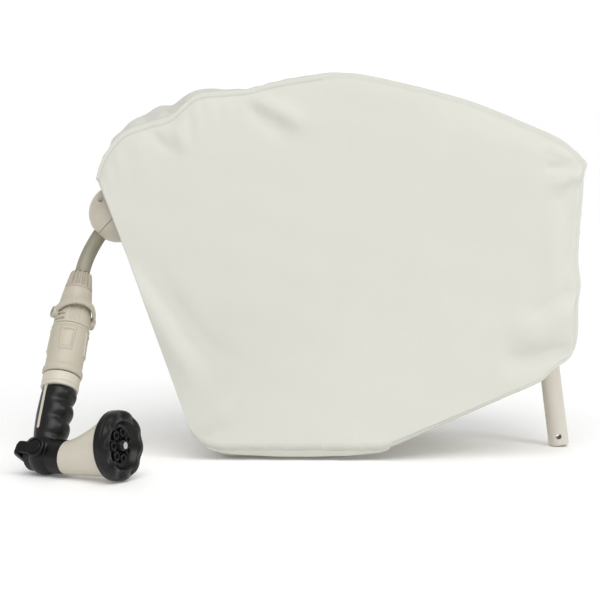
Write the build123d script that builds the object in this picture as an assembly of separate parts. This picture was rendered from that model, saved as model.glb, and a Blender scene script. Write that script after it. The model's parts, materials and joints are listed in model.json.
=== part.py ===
"""Covered retractable garden hose reel with its hose end, connector and spray gun.

Units are millimetres. The reel is drawn upright, with its swivel post vertical:
X runs from the front (hose outlet) to the back (post), Y across the drum and Z up.
stand() then leans it back by reel_lean, so that it rests on the flat under its case and
on the lower end of the post. The hose end is drawn where it lies on the ground.
"""
from build123d import *
import math
import os

os.makedirs("parts", exist_ok=True)

# ---- stance -------------------------------------------------------------------------
reel_lean = 7.5            # degrees that the post leans when the reel stands on the ground

# ---- case: corners of its side outline (x, z, corner radius), drawn upright -------------
case_half_width = 97.0
case_wall = 3.0
case_edge_radius = 24.0
nose_x = -212.0            # front top corner, over the hose outlet
nose_z = 333.0
crown_z = 391.0
shoulder_x = 264.0         # back top corner
shoulder_z = 288.0
back_x = 261.0
back_foot_z = 79.0
seat_back = (-2.6, 0.35)   # back and front corners of the flat that the case rests on
seat_front = (-135.5, 17.84)
case_corners = [
    (nose_x, nose_z, 45),
    (-122, crown_z, 80),
    (64, crown_z, 90),
    (shoulder_x, shoulder_z, 42),
    (back_x, back_foot_z, 42),
    (*seat_back, 60),
    (*seat_front, 34),
]
boss_places = [(-118, 370), (102, 357), (200, 292), (206, 98), (-116, 50), (-154, 168)]
boss_radius = 6.0
screw_radius = 2.0
screw_head_radius = 3.9
screw_head_height = 3.0
screw_sink = 64.0          # depth of the counterbore in the near half
screw_bite = 22.0          # length of thread in the far half

# ---- cover ---------------------------------------------------------------------------
cover_gap = 4.5            # between the case and the cloth
cover_wall = 3.0
cover_front_hem_z = 319.0  # lower edge of the cover's front
cover_back_hem_z = 112.0
cover_side_hem = 13.8      # side panels stop this far above the ground

# ---- swivel post -----------------------------------------------------------------------
post_x = 235.7
post_radius = 11.0
post_wall = 1.6
post_top_z = 290.0
post_end_fillet = 1.2
post_groove_z = 58.0       # groove that ends the stretch which goes into a bracket
post_groove_width = 2.0
post_groove_depth = 0.4
lock_hole_radius = 3.0
lock_hole_up = 10.0        # from the post's lower end to the hole's centre
post_running_gap = 0.08
bush_wall = 2.4
bush_length = 20.0
channel_wall = 3.5

# ---- drum ------------------------------------------------------------------------------
drum_x = 41.0
drum_z = 190.0
core_radius = 70.0
core_wall = 4.0
flange_radius = 155.0
flange_thickness = 4.0
winding_half_width = 66.0
hose_radius = 7.75
hose_layers = 5
axle_radius = 10.0
axle_bore = 5.0
drum_bush_wall = 5.0
near_socket = 4.0          # length of the near and far sockets that hold the axle
far_socket = 8.0
axle_running_gap = 0.08
ratchet_radius = 78.0
ratchet_teeth = 24
tooth_depth = 6.0
ratchet_thickness = 5.0
rib_radius = 5.0
flange_screw_radius = 1.6
flange_holes = 8
flange_hole_ring = 118.0   # radius of the circle that the flange's round openings lie on
flange_hole_radius = 18.0
pawl_offset = (92.0, -52.0)    # pawl's pivot from the drum's centre
pawl_pin_radius = 3.0
pulley_radius = 36.0
belt_width = 6.0
belt_thickness = 1.5
belt_gap = 0.3

# ---- mainspring ---------------------------------------------------------------------------
arbor_radius = 22.0
spring_strip = 1.0
spring_pitch = 5.0
spring_turns = 6
spring_width = 50.0

# ---- water inlet ---------------------------------------------------------------------------
inlet_y = 82.5
inlet_radius = 10.0
inlet_bore = 7.0
inlet_stub = 21.0          # length outside the case
inlet_collar = 2.5         # how far the collar stands out round the stub
inlet_collar_length = 3.0
union_radius = 20.0
elbow_y = 20.0             # the elbow that turns with the drum
elbow_radius = 6.0
elbow_bore = 3.5

# ---- hose guide: distances in from the outlet plate (in) and up along it (up) ---------------
plate_thickness = 3.0
outlet_half_height = 22.0  # slot that the hose passes and the ball cannot
outlet_half_length = 81.0
tray_half_height = 34.0
tray_half_length = 89.0
tray_wall = 2.5
cheek_y = 78.5             # the cheeks carry the guide screw and its rod
cheek_thickness = 3.0
guide_in = 22.0            # plane of the screw, the rod and the hose's bend
guide_screw_up = -19.0
guide_rod_up = 47.0
guide_screw_radius = 6.0
guide_rod_radius = 5.0
guide_running_gap = 0.08
carriage_half_width = 18.0
hose_window = 10.0         # half width of the carriage's opening round the hose
bend_radius = 75.0         # of the hose over the rollers
guide_roller_radius = 7.0
roller_pin_radius = 2.0
screw_ratio = 2            # turns of the guide screw for one turn of the drum
hose_clearance = 0.4

# ---- hose end, where it lies beside the reel ----------------------------------------------
hose_route = [
    (-232.0, -57.5, 258.5),
    (-249.2, -57.5, 240.6),
    (-262.6, -62.3, 220.0),
    (-271.3, -71.8, 198.4),
    (-274.4, -85.0, 177.5),
]
ball_radius = 30.5
ball_from_joint = 4.0      # ball centre, along the hose from the end of the free stretch
ball_split_gap = 0.5
ball_screw_offset = 20.0
ball_screw_radius = 1.6
ball_recess_radius = 3.1
hose_in_nut = 18.0
nut_length = 20.2
nut_top_radius = 10.3
nut_foot_radius = 14.4
connector_length = 118.7   # from the sleeve's lower rim to the top of the nut
sleeve_length = 62.0
sleeve_radius = 20.2
socket_radius = 10.4
socket_depth = 20.0
bail_up = 67.4             # height of the bail's pivot on the connector
bail_turn = 62.0           # degrees, from the front towards the left
bail_band = 3.0
valve_ball_radius = 9.0
valve_bore = 5.0
spindle_radius = 3.0

# ---- spray gun: x along the barrel, z square to it, from where the handle meets it ----------
handle_length = 87.0       # from the barrel's axis up to the connector's lower rim
nozzle_heading = 33.0      # degrees that the barrel points forward of the row's X axis
barrel_radius = 17.2
barrel_end = 27.0
barrel_back = -17.0
heel_radius = 20.0
dial_centre_x = 84.0
dial_rise = 18.4
dial_tilt = 6.0
dial_radius = 35.0
dial_thickness = 15.0
bell_radius = 31.0
collar_radius = 19.3
collar_length = 14.5
grip_core_radius = 11.0
turning_gap = 0.3
lever_gap = 0.4

cover_inner = case_half_width + cover_gap
cover_outer = cover_inner + cover_wall
pack_radius = core_radius + 2 * hose_radius * hose_layers
flange_outer_y = winding_half_width + flange_thickness
channel_bore = post_radius + bush_wall


# ---- helpers ---------------------------------------------------------------------------
def stand(shape):
    """Lean an upright piece back to the way the reel stands."""
    return Rot(0, -reel_lean, 0) * shape


def upright(vector):
    """A direction or point of the standing reel, drawn upright."""
    return Vector(*vector).rotate(Axis.Y, reel_lean)


def cyl_y(radius, y_low, y_high, x, z):
    """Solid cylinder along Y."""
    return Pos(x, (y_low + y_high) / 2, z) * Rot(90, 0, 0) * Cylinder(radius, y_high - y_low)


def ring_y(radius, bore, y_low, y_high, x, z):
    """Ring or tube along Y."""
    return cyl_y(radius, y_low, y_high, x, z) - cyl_y(bore, y_low - 1, y_high + 1, x, z)


def box(x_low, x_high, y_low, y_high, z_low, z_high):
    """Box between its low and high sides."""
    middle = Pos((x_low + x_high) / 2, (y_low + y_high) / 2, (z_low + z_high) / 2)
    return middle * Box(x_high - x_low, y_high - y_low, z_high - z_low)


def outline(corners):
    """Side outline, standing in the XZ plane, with each corner rounded to its radius."""
    points = [(x, z) for x, z, _ in corners]
    face = make_face(Polyline(*points, close=True))
    for x, z, radius in corners:
        near = face.vertices().sort_by_distance(Vector(x, z, 0))[0]
        face = fillet(near, radius)
    return face


def across(face, half_width):
    """A flat XZ outline given its width, half each way along Y."""
    return Rot(90, 0, 0) * extrude(face, half_width, both=True)


def rounded_block(face, half_width, radius):
    """across() with its two side rims rounded."""
    block = across(face, half_width)
    rims = block.edges().filter_by(lambda e: abs(abs(e.center().Y) - half_width) < 0.01)
    return fillet(rims, radius)


def frame_at(origin, x_dir, z_dir):
    """Location whose X and Z run along the given directions."""
    return Plane(origin=origin, x_dir=x_dir, z_dir=z_dir).location


def tube_path(points):
    """Straight runs joined by arcs as large as their runs allow, and the arcs' radii."""
    points = [Vector(*p) for p in points]
    radii = []
    for before, corner, after in zip(points, points[1:], points[2:]):
        turn = math.radians((corner - before).get_angle(after - corner))
        run = min((corner - before).length, (after - corner).length)
        radii.append(0.45 * run / math.tan(turn / 2))
    return FilletPolyline(*points, radius=radii), radii


def tube(path, radius):
    """Round solid along a path."""
    return sweep(Plane(origin=path @ 0, z_dir=path % 0) * Circle(radius), path=path)


nodes = {}


def keep(name, shape):
    """Add a finished piece, in its standing place."""
    nodes[name] = shape


# ---- places that several pieces share -----------------------------------------------------
hose_points = [Vector(*p) for p in hose_route]
hose_out = (hose_points[1] - hose_points[0]).normalized()
ball_centre = hose_points[0] + hose_out * ball_from_joint
guide_y = ball_centre.Y
ball_up = upright(ball_centre)

# up the case's front wall
front_run = Vector(nose_x - seat_front[0], 0, nose_z - seat_front[1]).normalized()
inward = Vector(front_run.Z, 0, -front_run.X)
ball_seat = math.sqrt(ball_radius**2 - outlet_half_height**2) + turning_gap
outlet = Vector(ball_up.X, 0, ball_up.Z) + inward * (ball_seat + plate_thickness)
guide_frame = frame_at(outlet, inward, front_run)


def guide_point(distance_in, distance_up):
    """Upright point at a distance in from the outlet plate's inner face, and up along it."""
    return outlet + inward * distance_in + front_run * distance_up


# ---- case --------------------------------------------------------------------------------
case_face = outline(case_corners)
case_block = rounded_block(case_face, case_half_width, case_edge_radius)
hollow = rounded_block(offset(case_face, amount=-case_wall),
                       case_half_width - case_wall, case_edge_radius - case_wall)
back_slope = Vector(back_x - seat_back[0], 0, back_foot_z - seat_back[1]).normalized()
slope_out = Vector(back_slope.Z, 0, -back_slope.X)
drum_centre = Vector(drum_x, 0, drum_z)
inlet_run = (Vector(seat_back[0], 0, seat_back[1]) - drum_centre).dot(slope_out)
inlet_frame = frame_at(Vector(drum_x, inlet_y, drum_z), Vector(0, 1, 0), slope_out)

shell = case_block - hollow
channel = Pos(post_x, 0, 200) * Cylinder(channel_bore + channel_wall, 500)
shell += channel & case_block
post_top_room = post_top_z + 1.0
shell -= Pos(post_x, 0, post_top_room / 2 - 100) * Cylinder(channel_bore, post_top_room + 200)
for boss_x, boss_z in boss_places:
    shell += cyl_y(boss_radius, -case_half_width + case_wall / 2, case_half_width - case_wall / 2,
                   boss_x, boss_z)
case_inner_y = case_half_width - case_wall
shell += ring_y(axle_radius + 6, axle_radius, -case_inner_y, -case_inner_y + near_socket,
                drum_x, drum_z)
shell += ring_y(axle_radius + 6, axle_radius, case_inner_y - far_socket, case_inner_y,
                drum_x, drum_z)
mouth = guide_frame * box(-80, -plate_thickness / 2, -tray_half_length, tray_half_length,
                          -tray_half_height, tray_half_height)
shell -= mouth
shell -= inlet_frame * Pos(0, 0, inlet_run / 2) * Cylinder(inlet_radius + 0.3, inlet_run + 40)
half_room = 400.0
near_space = Pos(0, -half_room / 2, 200) * Box(800, half_room, 800)
far_space = Pos(0, half_room / 2, 200) * Box(800, half_room, 800)
near_half = shell & near_space
far_half = shell & far_space
screws = []
for boss_x, boss_z in boss_places:
    head_y = -case_half_width + screw_sink
    near_half -= cyl_y(screw_head_radius + 0.4, -half_room, head_y, boss_x, boss_z)
    near_half -= cyl_y(screw_radius + 0.3, head_y - 1, 1, boss_x, boss_z)
    far_half -= cyl_y(screw_radius, -1, screw_bite + 2, boss_x, boss_z)
    head = cyl_y(screw_head_radius, head_y - screw_head_height, head_y, boss_x, boss_z)
    drive = Pos(boss_x, head_y - screw_head_height, boss_z) * Box(4, 2.4, 1)
    drive += Pos(boss_x, head_y - screw_head_height, boss_z) * Box(1, 2.4, 4)
    screws.append(head + cyl_y(screw_radius, head_y, screw_bite, boss_x, boss_z) - drive)
keep("case_near_half", stand(near_half))
keep("case_far_half", stand(far_half))
keep("case_screws", Compound(children=[stand(s) for s in screws]))

# ---- cover -------------------------------------------------------------------------------
cover_skin = across(offset(case_face, amount=cover_gap + cover_wall), cover_outer)
cover_skin -= across(offset(case_face, amount=cover_gap), cover_inner)
far_away = 500.0
cover_skin -= box(-far_away, 150, -cover_inner, cover_inner, -far_away, cover_front_hem_z)
cover_skin -= box(0, far_away, -cover_inner, cover_inner, -far_away, cover_back_hem_z)
cover = stand(cover_skin)
cover -= box(-far_away, far_away, -far_away, far_away, -far_away, cover_side_hem)
keep("cover", cover)

# ---- swivel post ---------------------------------------------------------------------------
lean = math.radians(reel_lean)
# lowest point of the rounded rim meets the ground
rim_x = post_x - post_radius + post_end_fillet
post_foot_z = (post_end_fillet - rim_x * math.sin(lean)) / math.cos(lean) - post_end_fillet
post_length = post_top_z - post_foot_z
post_bar = Cylinder(post_radius, post_length)
post_bar = fillet(post_bar.edges().filter_by(GeomType.CIRCLE), post_end_fillet)
post_tube = Pos(post_x, 0, post_foot_z + post_length / 2) * (
    post_bar - Cylinder(post_radius - post_wall, post_length + 2))
lock_z = post_foot_z + lock_hole_up
post_tube -= cyl_y(lock_hole_radius, -50, 50, post_x, lock_z)
groove = Cylinder(post_radius + 1, post_groove_width)
groove -= Cylinder(post_radius - post_groove_depth, post_groove_width)
post_tube -= Pos(post_x, 0, post_groove_z) * groove
post_pin = post_groove_z - post_groove_width / 2 - post_foot_z - post_end_fillet
keep("swivel_post", stand(post_tube))
channel_foot_z = back_slope.Z / back_slope.X * (post_x - seat_back[0]) + seat_back[1] + 12
bush_places = {"lower": channel_foot_z, "upper": post_top_z - 8 - bush_length}
for level, bush_z in bush_places.items():
    bush = Cylinder(channel_bore, bush_length)
    bush -= Cylinder(post_radius + post_running_gap, bush_length + 2)
    keep(f"post_bush_{level}", stand(Pos(post_x, 0, bush_z + bush_length / 2) * bush))
collar_z = channel_foot_z + bush_length + 5
stop_ring = Cylinder(channel_bore - 0.4, 8) - Cylinder(post_radius, 10)
keep("post_stop_ring", stand(Pos(post_x, 0, collar_z) * stop_ring))
post_plug = Cylinder(post_radius - post_wall, 12)
keep("post_top_plug", stand(Pos(post_x, 0, post_top_z - 7) * post_plug))

# ---- axle, union and mainspring --------------------------------------------------------------
axle = cyl_y(axle_radius, -case_inner_y, case_inner_y, drum_x, drum_z)
axle -= cyl_y(axle_bore, 0, case_inner_y + 1, drum_x, drum_z)
axle -= Pos(drum_x, elbow_y, drum_z + 6) * Cylinder(elbow_bore, 12)
axle -= Pos(drum_x, inlet_y, drum_z - 6) * Cylinder(elbow_bore, 12)
keep("drum_axle", stand(axle))
union_ring = ring_y(union_radius, axle_radius, inlet_y - 9, inlet_y + 3, drum_x, drum_z)
bar_start = axle_radius + 5
bar_end = inlet_run + inlet_stub
inlet_bar = inlet_frame * Pos(0, 0, (bar_start + bar_end) / 2) * Cylinder(
    inlet_radius, bar_end - bar_start)
collar_at = inlet_run + 1 + inlet_collar_length / 2
inlet_bar += inlet_frame * Pos(0, 0, collar_at) * Cylinder(
    inlet_radius + inlet_collar, inlet_collar_length)
union = union_ring + inlet_bar
union -= inlet_frame * Pos(0, 0, bar_end / 2 + 4) * Cylinder(inlet_bore, bar_end)
union -= cyl_y(axle_radius, -half_room, half_room, drum_x, drum_z)
keep("inlet_union", stand(union))
seal_end = inlet_y - 9
keep("union_seal", stand(ring_y(axle_radius + 4, axle_radius, seal_end - 1.8, seal_end, drum_x, drum_z)))
keep("spring_arbor", stand(ring_y(arbor_radius, axle_radius, -60, -4, drum_x, drum_z)))


def spiral_edge(inner, shift):
    """Edges of a spiral made of half circles that grow by half a pitch at each half turn."""
    edges = []
    radius = inner + shift
    x = radius
    for half in range(2 * spring_turns):
        sign = 1 if half % 2 == 0 else -1
        end = x - 2 * sign * radius
        edges.append(ThreePointArc((x, 0), ((x + end) / 2, sign * radius), (end, 0)))
        x = end
        radius += spring_pitch / 2
    return edges


inner_edges = spiral_edge(arbor_radius + 2, 0)
outer_edges = spiral_edge(arbor_radius + 2, spring_strip)
ends = [Line(inner_edges[0] @ 0, outer_edges[0] @ 0), Line(inner_edges[-1] @ 1, outer_edges[-1] @ 1)]
strip = make_face(Wire(inner_edges + outer_edges + ends))
mainspring = Pos(drum_x, -32, drum_z) * Rot(90, 0, 0) * extrude(strip, spring_width / 2, both=True)
keep("main_spring", stand(mainspring))

# ---- drum ----------------------------------------------------------------------------------
core = ring_y(core_radius, core_radius - core_wall, -winding_half_width, winding_half_width,
              drum_x, drum_z)
rib_ring = core_radius - core_wall - rib_radius + 1
rib_places = [(drum_x + rib_ring * math.cos(math.radians(a)),
               drum_z + rib_ring * math.sin(math.radians(a)))
              for a in range(45, 405, 90)]
for rib_x, rib_z in rib_places:
    core += cyl_y(rib_radius, -winding_half_width, winding_half_width, rib_x, rib_z)
    core -= cyl_y(flange_screw_radius, -half_room, half_room, rib_x, rib_z)
core -= Pos(drum_x, elbow_y, drum_z + core_radius) * Cylinder(elbow_radius, 40)
keep("drum_core", stand(core))
hub_bore = axle_radius + drum_bush_wall
flange_screws = []
for name, side in (("near", -1), ("far", 1)):
    inner_y = side * winding_half_width
    outer_y = side * flange_outer_y
    low, high = sorted((inner_y, outer_y))
    flange = ring_y(flange_radius, hub_bore, low, high, drum_x, drum_z)
    for hole in range(flange_holes):
        angle = 2 * math.pi * (hole + 0.5) / flange_holes
        hole_x = drum_x + flange_hole_ring * math.cos(angle)
        hole_z = drum_z + flange_hole_ring * math.sin(angle)
        flange -= cyl_y(flange_hole_radius, -half_room, half_room, hole_x, hole_z)
    for rib_x, rib_z in rib_places:
        flange -= cyl_y(flange_screw_radius, -half_room, half_room, rib_x, rib_z)
        tip, head = sorted((side * (winding_half_width - 12), outer_y))
        shank = cyl_y(flange_screw_radius, tip, head, rib_x, rib_z)
        cap_low, cap_high = sorted((outer_y, side * (flange_outer_y + 1.6)))
        flange_screws.append(shank + cyl_y(2 * flange_screw_radius, cap_low, cap_high, rib_x, rib_z))
    keep(f"drum_flange_{name}", stand(flange))
keep("flange_screws", Compound(children=[stand(s) for s in flange_screws]))
bushes = []
for side in (-1, 1):
    low, high = sorted((side * (flange_outer_y + 0.5), side * (winding_half_width - 5)))
    bushes.append(ring_y(hub_bore, axle_radius + axle_running_gap, low, high, drum_x, drum_z))
keep("drum_bushes", Compound(children=[stand(b) for b in bushes]))
keep("wound_hose", stand(ring_y(pack_radius, core_radius, -winding_half_width,
                                winding_half_width, drum_x, drum_z)))
ratchet_high = -flange_outer_y
ratchet_low = ratchet_high - ratchet_thickness
teeth = []
step = 360 / ratchet_teeth
for tooth in range(ratchet_teeth):
    root = math.radians(tooth * step)
    tip = math.radians((tooth + 0.92) * step)
    root_radius = ratchet_radius - tooth_depth
    teeth.append((root_radius * math.cos(root), root_radius * math.sin(root)))
    teeth.append((ratchet_radius * math.cos(tip), ratchet_radius * math.sin(tip)))
ratchet_face = make_face(Polyline(*teeth, close=True)) - Circle(ratchet_radius - tooth_depth - 6)
ratchet = Pos(drum_x, (ratchet_low + ratchet_high) / 2, drum_z) * Rot(90, 0, 0) * extrude(
    ratchet_face, ratchet_thickness / 2, both=True)
keep("ratchet_ring", stand(ratchet))
pulley_low = -case_inner_y + near_socket + 0.5
belt_rim = 1.2             # side rims that keep the belt on
belt_low = pulley_low + belt_rim + belt_gap
belt_high = belt_low + belt_width
pulley = ring_y(pulley_radius, hub_bore + 1, pulley_low, ratchet_low - 1, drum_x, drum_z)
pulley += ring_y(pulley_radius + 3, hub_bore + 1, pulley_low, pulley_low + belt_rim, drum_x, drum_z)
pulley += ring_y(pulley_radius + 3, hub_bore + 1, belt_high + belt_gap, belt_high + belt_gap + belt_rim,
                 drum_x, drum_z)
pulley += ring_y(hub_bore + 8, hub_bore + 1, ratchet_low - 1, ratchet_high, drum_x, drum_z)
keep("drum_pulley", stand(pulley))
elbow_foot = axle_radius + 3
elbow_top = core_radius - 0.5
elbow = Pos(drum_x, elbow_y, drum_z + (elbow_foot + elbow_top) / 2) * Cylinder(
    elbow_radius, elbow_top - elbow_foot)
elbow += cyl_y(axle_radius + 6, elbow_y - 8, elbow_y + 8, drum_x, drum_z)
elbow -= cyl_y(axle_radius + axle_running_gap, -half_room, half_room, drum_x, drum_z)
elbow -= Pos(drum_x, elbow_y, drum_z + elbow_top / 2) * Cylinder(elbow_bore, elbow_top + 2)
keep("water_elbow", stand(elbow))

# ---- hose guide ------------------------------------------------------------------------------
tray = box(-60, 0, -tray_half_length - tray_wall, tray_half_length + tray_wall,
           -tray_half_height - tray_wall, tray_half_height + tray_wall)
tray -= box(-70, -plate_thickness, -tray_half_length, tray_half_length,
            -tray_half_height, tray_half_height)
slot = box(-10, 10, -outlet_half_length, outlet_half_length,
           -outlet_half_height, outlet_half_height)
tray = (guide_frame * (tray - slot)) & hollow
cheek_outline = [(0, -32), (guide_in + 10, -32), (guide_in + 14, 0), (guide_in + 10, 56),
                 (guide_in - 7, 56), (0, 30)]
for side in (-1, 1):
    cheek = extrude(make_face(Polyline(*cheek_outline, close=True)), cheek_thickness / 2, both=True)
    cheek = Pos(0, side * cheek_y, 0) * Rot(90, 0, 0) * cheek
    tray += guide_frame * cheek
screw_at = guide_point(guide_in, guide_screw_up)
rod_at = guide_point(guide_in, guide_rod_up)
cheek_inner = cheek_y - cheek_thickness / 2
cheek_outer = cheek_y + cheek_thickness / 2
tray -= cyl_y(guide_screw_radius + guide_running_gap, -half_room, half_room, screw_at.X, screw_at.Z)
tray -= cyl_y(guide_rod_radius, -half_room, half_room, rod_at.X, rod_at.Z)
keep("outlet_frame", stand(tray))
keep("guide_rod", stand(cyl_y(guide_rod_radius, -cheek_outer, cheek_outer, rod_at.X, rod_at.Z)))
screw_pulley_radius = pulley_radius / screw_ratio
keep("guide_screw", stand(cyl_y(guide_screw_radius, pulley_low, cheek_outer + 2,
                                screw_at.X, screw_at.Z)))
screw_pulley = ring_y(screw_pulley_radius, guide_screw_radius, belt_low - 0.5, belt_high + 0.5,
                      screw_at.X, screw_at.Z)
keep("screw_pulley", stand(screw_pulley))


def belt_loop(grow):
    """Outline of the belt's loop round both pulleys, grown outwards."""
    big = Pos(drum_x, drum_z) * Circle(pulley_radius + grow)
    small = Pos(screw_at.X, screw_at.Z) * Circle(screw_pulley_radius + grow)
    gap = Vector(screw_at.X - drum_x, screw_at.Z - drum_z)
    turn = math.degrees(math.atan2(gap.Y, gap.X))
    spread = math.degrees(math.acos((pulley_radius - screw_pulley_radius) / gap.length))
    points = []
    for centre, radius, sign in ((Vector(drum_x, drum_z), pulley_radius + grow, 1),
                                 (Vector(screw_at.X, screw_at.Z), screw_pulley_radius + grow, 1),
                                 (Vector(screw_at.X, screw_at.Z), screw_pulley_radius + grow, -1),
                                 (Vector(drum_x, drum_z), pulley_radius + grow, -1)):
        angle = math.radians(turn + sign * spread)
        points.append(centre + Vector(math.cos(angle), math.sin(angle)) * radius)
    return big + small + make_face(Polyline(*points, close=True))


belt_face = belt_loop(belt_gap + belt_thickness) - belt_loop(belt_gap)
belt = Pos(0, (belt_low + belt_high) / 2, 0) * Rot(90, 0, 0) * extrude(
    belt_face, belt_width / 2, both=True)
keep("drive_belt", stand(belt))

# the hose bends over the carriage's rollers, then runs on to the top of the wound hose
hose_in_dir = upright(hose_out * -1)
bend_reach = (guide_in + ball_seat + plate_thickness) / hose_in_dir.dot(inward)
bend = Vector(ball_up.X, 0, ball_up.Z) + hose_in_dir * bend_reach
lay_radius = pack_radius + hose_radius + hose_clearance
to_drum = drum_centre - bend
lay_angle = math.atan2(to_drum.Z, to_drum.X) + math.asin(lay_radius / to_drum.length)
lay_dir = Vector(math.cos(lay_angle), 0, math.sin(lay_angle))
lay_point = bend + lay_dir * math.sqrt(to_drum.length**2 - lay_radius**2)
at_guide = Vector(0, guide_y, 0)
joint_up = upright(hose_points[0]) - at_guide
lead_path = FilletPolyline(joint_up + at_guide, bend + at_guide, lay_point + at_guide,
                           radius=bend_radius)
keep("lead_hose", stand(tube(lead_path, hose_radius)))

mean_dir = (hose_in_dir + lay_dir).normalized()
bend_up = Vector(-mean_dir.Z, 0, mean_dir.X)
half_turn = math.radians(hose_in_dir.get_angle(lay_dir)) / 2
bend_middle = bend - bend_up * bend_radius * (1 / math.cos(half_turn) - 1)
roller_reach = hose_radius + hose_clearance + guide_roller_radius
roller_at = {"upper": bend_middle + bend_up * roller_reach,
             "lower": bend_middle - bend_up * roller_reach}
carriage = box(guide_in - 11, guide_in + 11, guide_y - carriage_half_width,
               guide_y + carriage_half_width, guide_screw_up - 11, guide_rod_up + 9)
carriage = guide_frame * carriage
carriage -= tube(lead_path, hose_window)
pin_half = hose_window + 5
for place in roller_at.values():
    carriage -= cyl_y(guide_roller_radius + 0.5, guide_y - hose_window - 0.5,
                      guide_y + hose_window + 0.5, place.X, place.Z)
    carriage -= cyl_y(roller_pin_radius, guide_y - pin_half, guide_y + pin_half, place.X, place.Z)
carriage -= cyl_y(guide_screw_radius + 2.5, -half_room, half_room, screw_at.X, screw_at.Z)
carriage -= cyl_y(guide_rod_radius + guide_running_gap, -half_room, half_room, rod_at.X, rod_at.Z)
keep("guide_carriage", stand(carriage))
keep("carriage_nut", stand(ring_y(guide_screw_radius + 2.5, guide_screw_radius + guide_running_gap,
                                  guide_y - 14, guide_y + 14, screw_at.X, screw_at.Z)))
pins = []
for name, place in roller_at.items():
    roller = ring_y(guide_roller_radius, roller_pin_radius + guide_running_gap,
                    guide_y - hose_window, guide_y + hose_window, place.X, place.Z)
    keep(f"{name}_roller", stand(roller))
    pins.append(cyl_y(roller_pin_radius, guide_y - pin_half, guide_y + pin_half, place.X, place.Z))
keep("roller_pins", Compound(children=[stand(p) for p in pins]))

# ---- pawl, resting just clear of the ratchet -------------------------------------------------
pawl_pivot = drum_centre + Vector(pawl_offset[0], 0, pawl_offset[1])
pawl_y_low = ratchet_low
pawl_y_high = ratchet_high - 0.5
keep("pawl_pin", stand(cyl_y(pawl_pin_radius, -case_inner_y, pawl_y_high,
                             pawl_pivot.X, pawl_pivot.Z)))
to_ratchet = (drum_centre - pawl_pivot).normalized()
pawl_side = Vector(to_ratchet.Z, 0, -to_ratchet.X)
nose_point = drum_centre - to_ratchet * (ratchet_radius + 0.8)
pawl_corners = [pawl_pivot + pawl_side * 5, pawl_pivot - pawl_side * 5,
                nose_point - pawl_side * 3, nose_point + pawl_side * 1]
pawl_face = make_face(Polyline(*[(c.X, c.Z) for c in pawl_corners], close=True))
pawl_face += Pos(pawl_pivot.X, pawl_pivot.Z) * Circle(7)
pawl_face -= Pos(pawl_pivot.X, pawl_pivot.Z) * Circle(pawl_pin_radius + axle_running_gap)
pawl_middle = (pawl_y_low + pawl_y_high) / 2
pawl = Pos(0, pawl_middle, 0) * Rot(90, 0, 0) * extrude(
    pawl_face, (pawl_y_high - pawl_y_low) / 2, both=True)
keep("ratchet_pawl", stand(pawl))

# ---- hose stop ball ----------------------------------------------------------------------------
view_dir = Vector(0, 1, 0)
split_up = hose_out.cross(view_dir).normalized()
if split_up.Z < 0:
    split_up = split_up * -1
ball_frame = frame_at(ball_centre, view_dir, split_up)   # x across, z square to the split
bore_frame = frame_at(ball_centre, view_dir, hose_out)
ball = ball_frame * Sphere(ball_radius)
ball -= bore_frame * Cylinder(hose_radius, 100)
flare_start = 8.5          # from here on the bore widens, so that the hose can bend
flare_length = ball_radius + 1.5 - flare_start
flare = Pos(0, 0, flare_start + flare_length / 2) * Cone(
    hose_radius, hose_radius + 3.3, flare_length)
ball -= bore_frame * flare
ball -= bore_frame * Rot(180, 0, 0) * flare
ball_screws = []
for side in (-1, 1):
    x = side * ball_screw_offset
    ball -= ball_frame * Pos(x, 0, 8 + 20) * Cylinder(ball_recess_radius, 40)
    ball -= ball_frame * Pos(x, 0, -1) * Cylinder(ball_screw_radius, 24)
    screw = Pos(x, 0, -2) * Cylinder(ball_screw_radius, 20)
    screw += Pos(x, 0, 9.5) * Cylinder(ball_recess_radius - 0.2, 3)
    screw -= Pos(x, 0, 11) * Box(3.4, 0.9, 1.8) + Pos(x, 0, 11) * Box(0.9, 3.4, 1.8)
    ball_screws.append(ball_frame * screw)
for name, side in (("upper", 1), ("lower", -1)):
    room = Pos(0, 0, side * (50 + ball_split_gap / 2)) * Box(100, 100, 100)
    keep(f"ball_{name}_half", ball & (ball_frame * room))
keep("ball_screws", Compound(children=ball_screws))

# ---- free hose ---------------------------------------------------------------------------------
hose_path, hose_radii = tube_path(hose_route)
free_hose = tube(hose_path, hose_radius)
keep("free_hose", free_hose)
print("free hose: length", round(hose_path.length, 1), "radii", [round(r, 1) for r in hose_radii],
      "volume ratio", round(free_hose.volume / (math.pi * hose_radius**2 * hose_path.length), 4))

# ---- connector: z runs from its lower rim towards the hose ----------------------------------------
axis_up = (hose_points[-2] - hose_points[-1]).normalized()
connector_rim = hose_points[-1] - axis_up * (connector_length - hose_in_nut)
right = (Vector(1, 0, 0) - axis_up * axis_up.X).normalized()
connector_frame = frame_at(connector_rim, right, axis_up)
nut_foot = connector_length - nut_length
hose_end = connector_length - hose_in_nut


def turned(profile):
    """Solid of revolution from (radius, height) points."""
    face = make_face(Polyline(*profile, close=True))
    return revolve(Rot(90, 0, 0) * face, Axis.Z)


nut = turned([(0, nut_foot), (nut_foot_radius, nut_foot), (nut_foot_radius, nut_foot + 5),
              (nut_top_radius + 1.4, connector_length - 2), (nut_top_radius, connector_length),
              (0, connector_length)])
nut_bore = hose_radius + 0.05
nut -= Pos(0, 0, connector_length) * Cylinder(nut_bore, 3 * hose_in_nut)
nut -= Pos(0, 0, connector_length - 1) * Cone(nut_bore, nut_bore + 1, 2.1)
groove_count = 14
for groove in range(groove_count):
    cut = Pos(nut_foot_radius + 0.6, 0, nut_foot + 12) * Box(3, 2.0, 18)
    nut -= Rot(0, 0, 360 / groove_count * groove) * cut
keep("hose_nut", connector_frame * nut)

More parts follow.
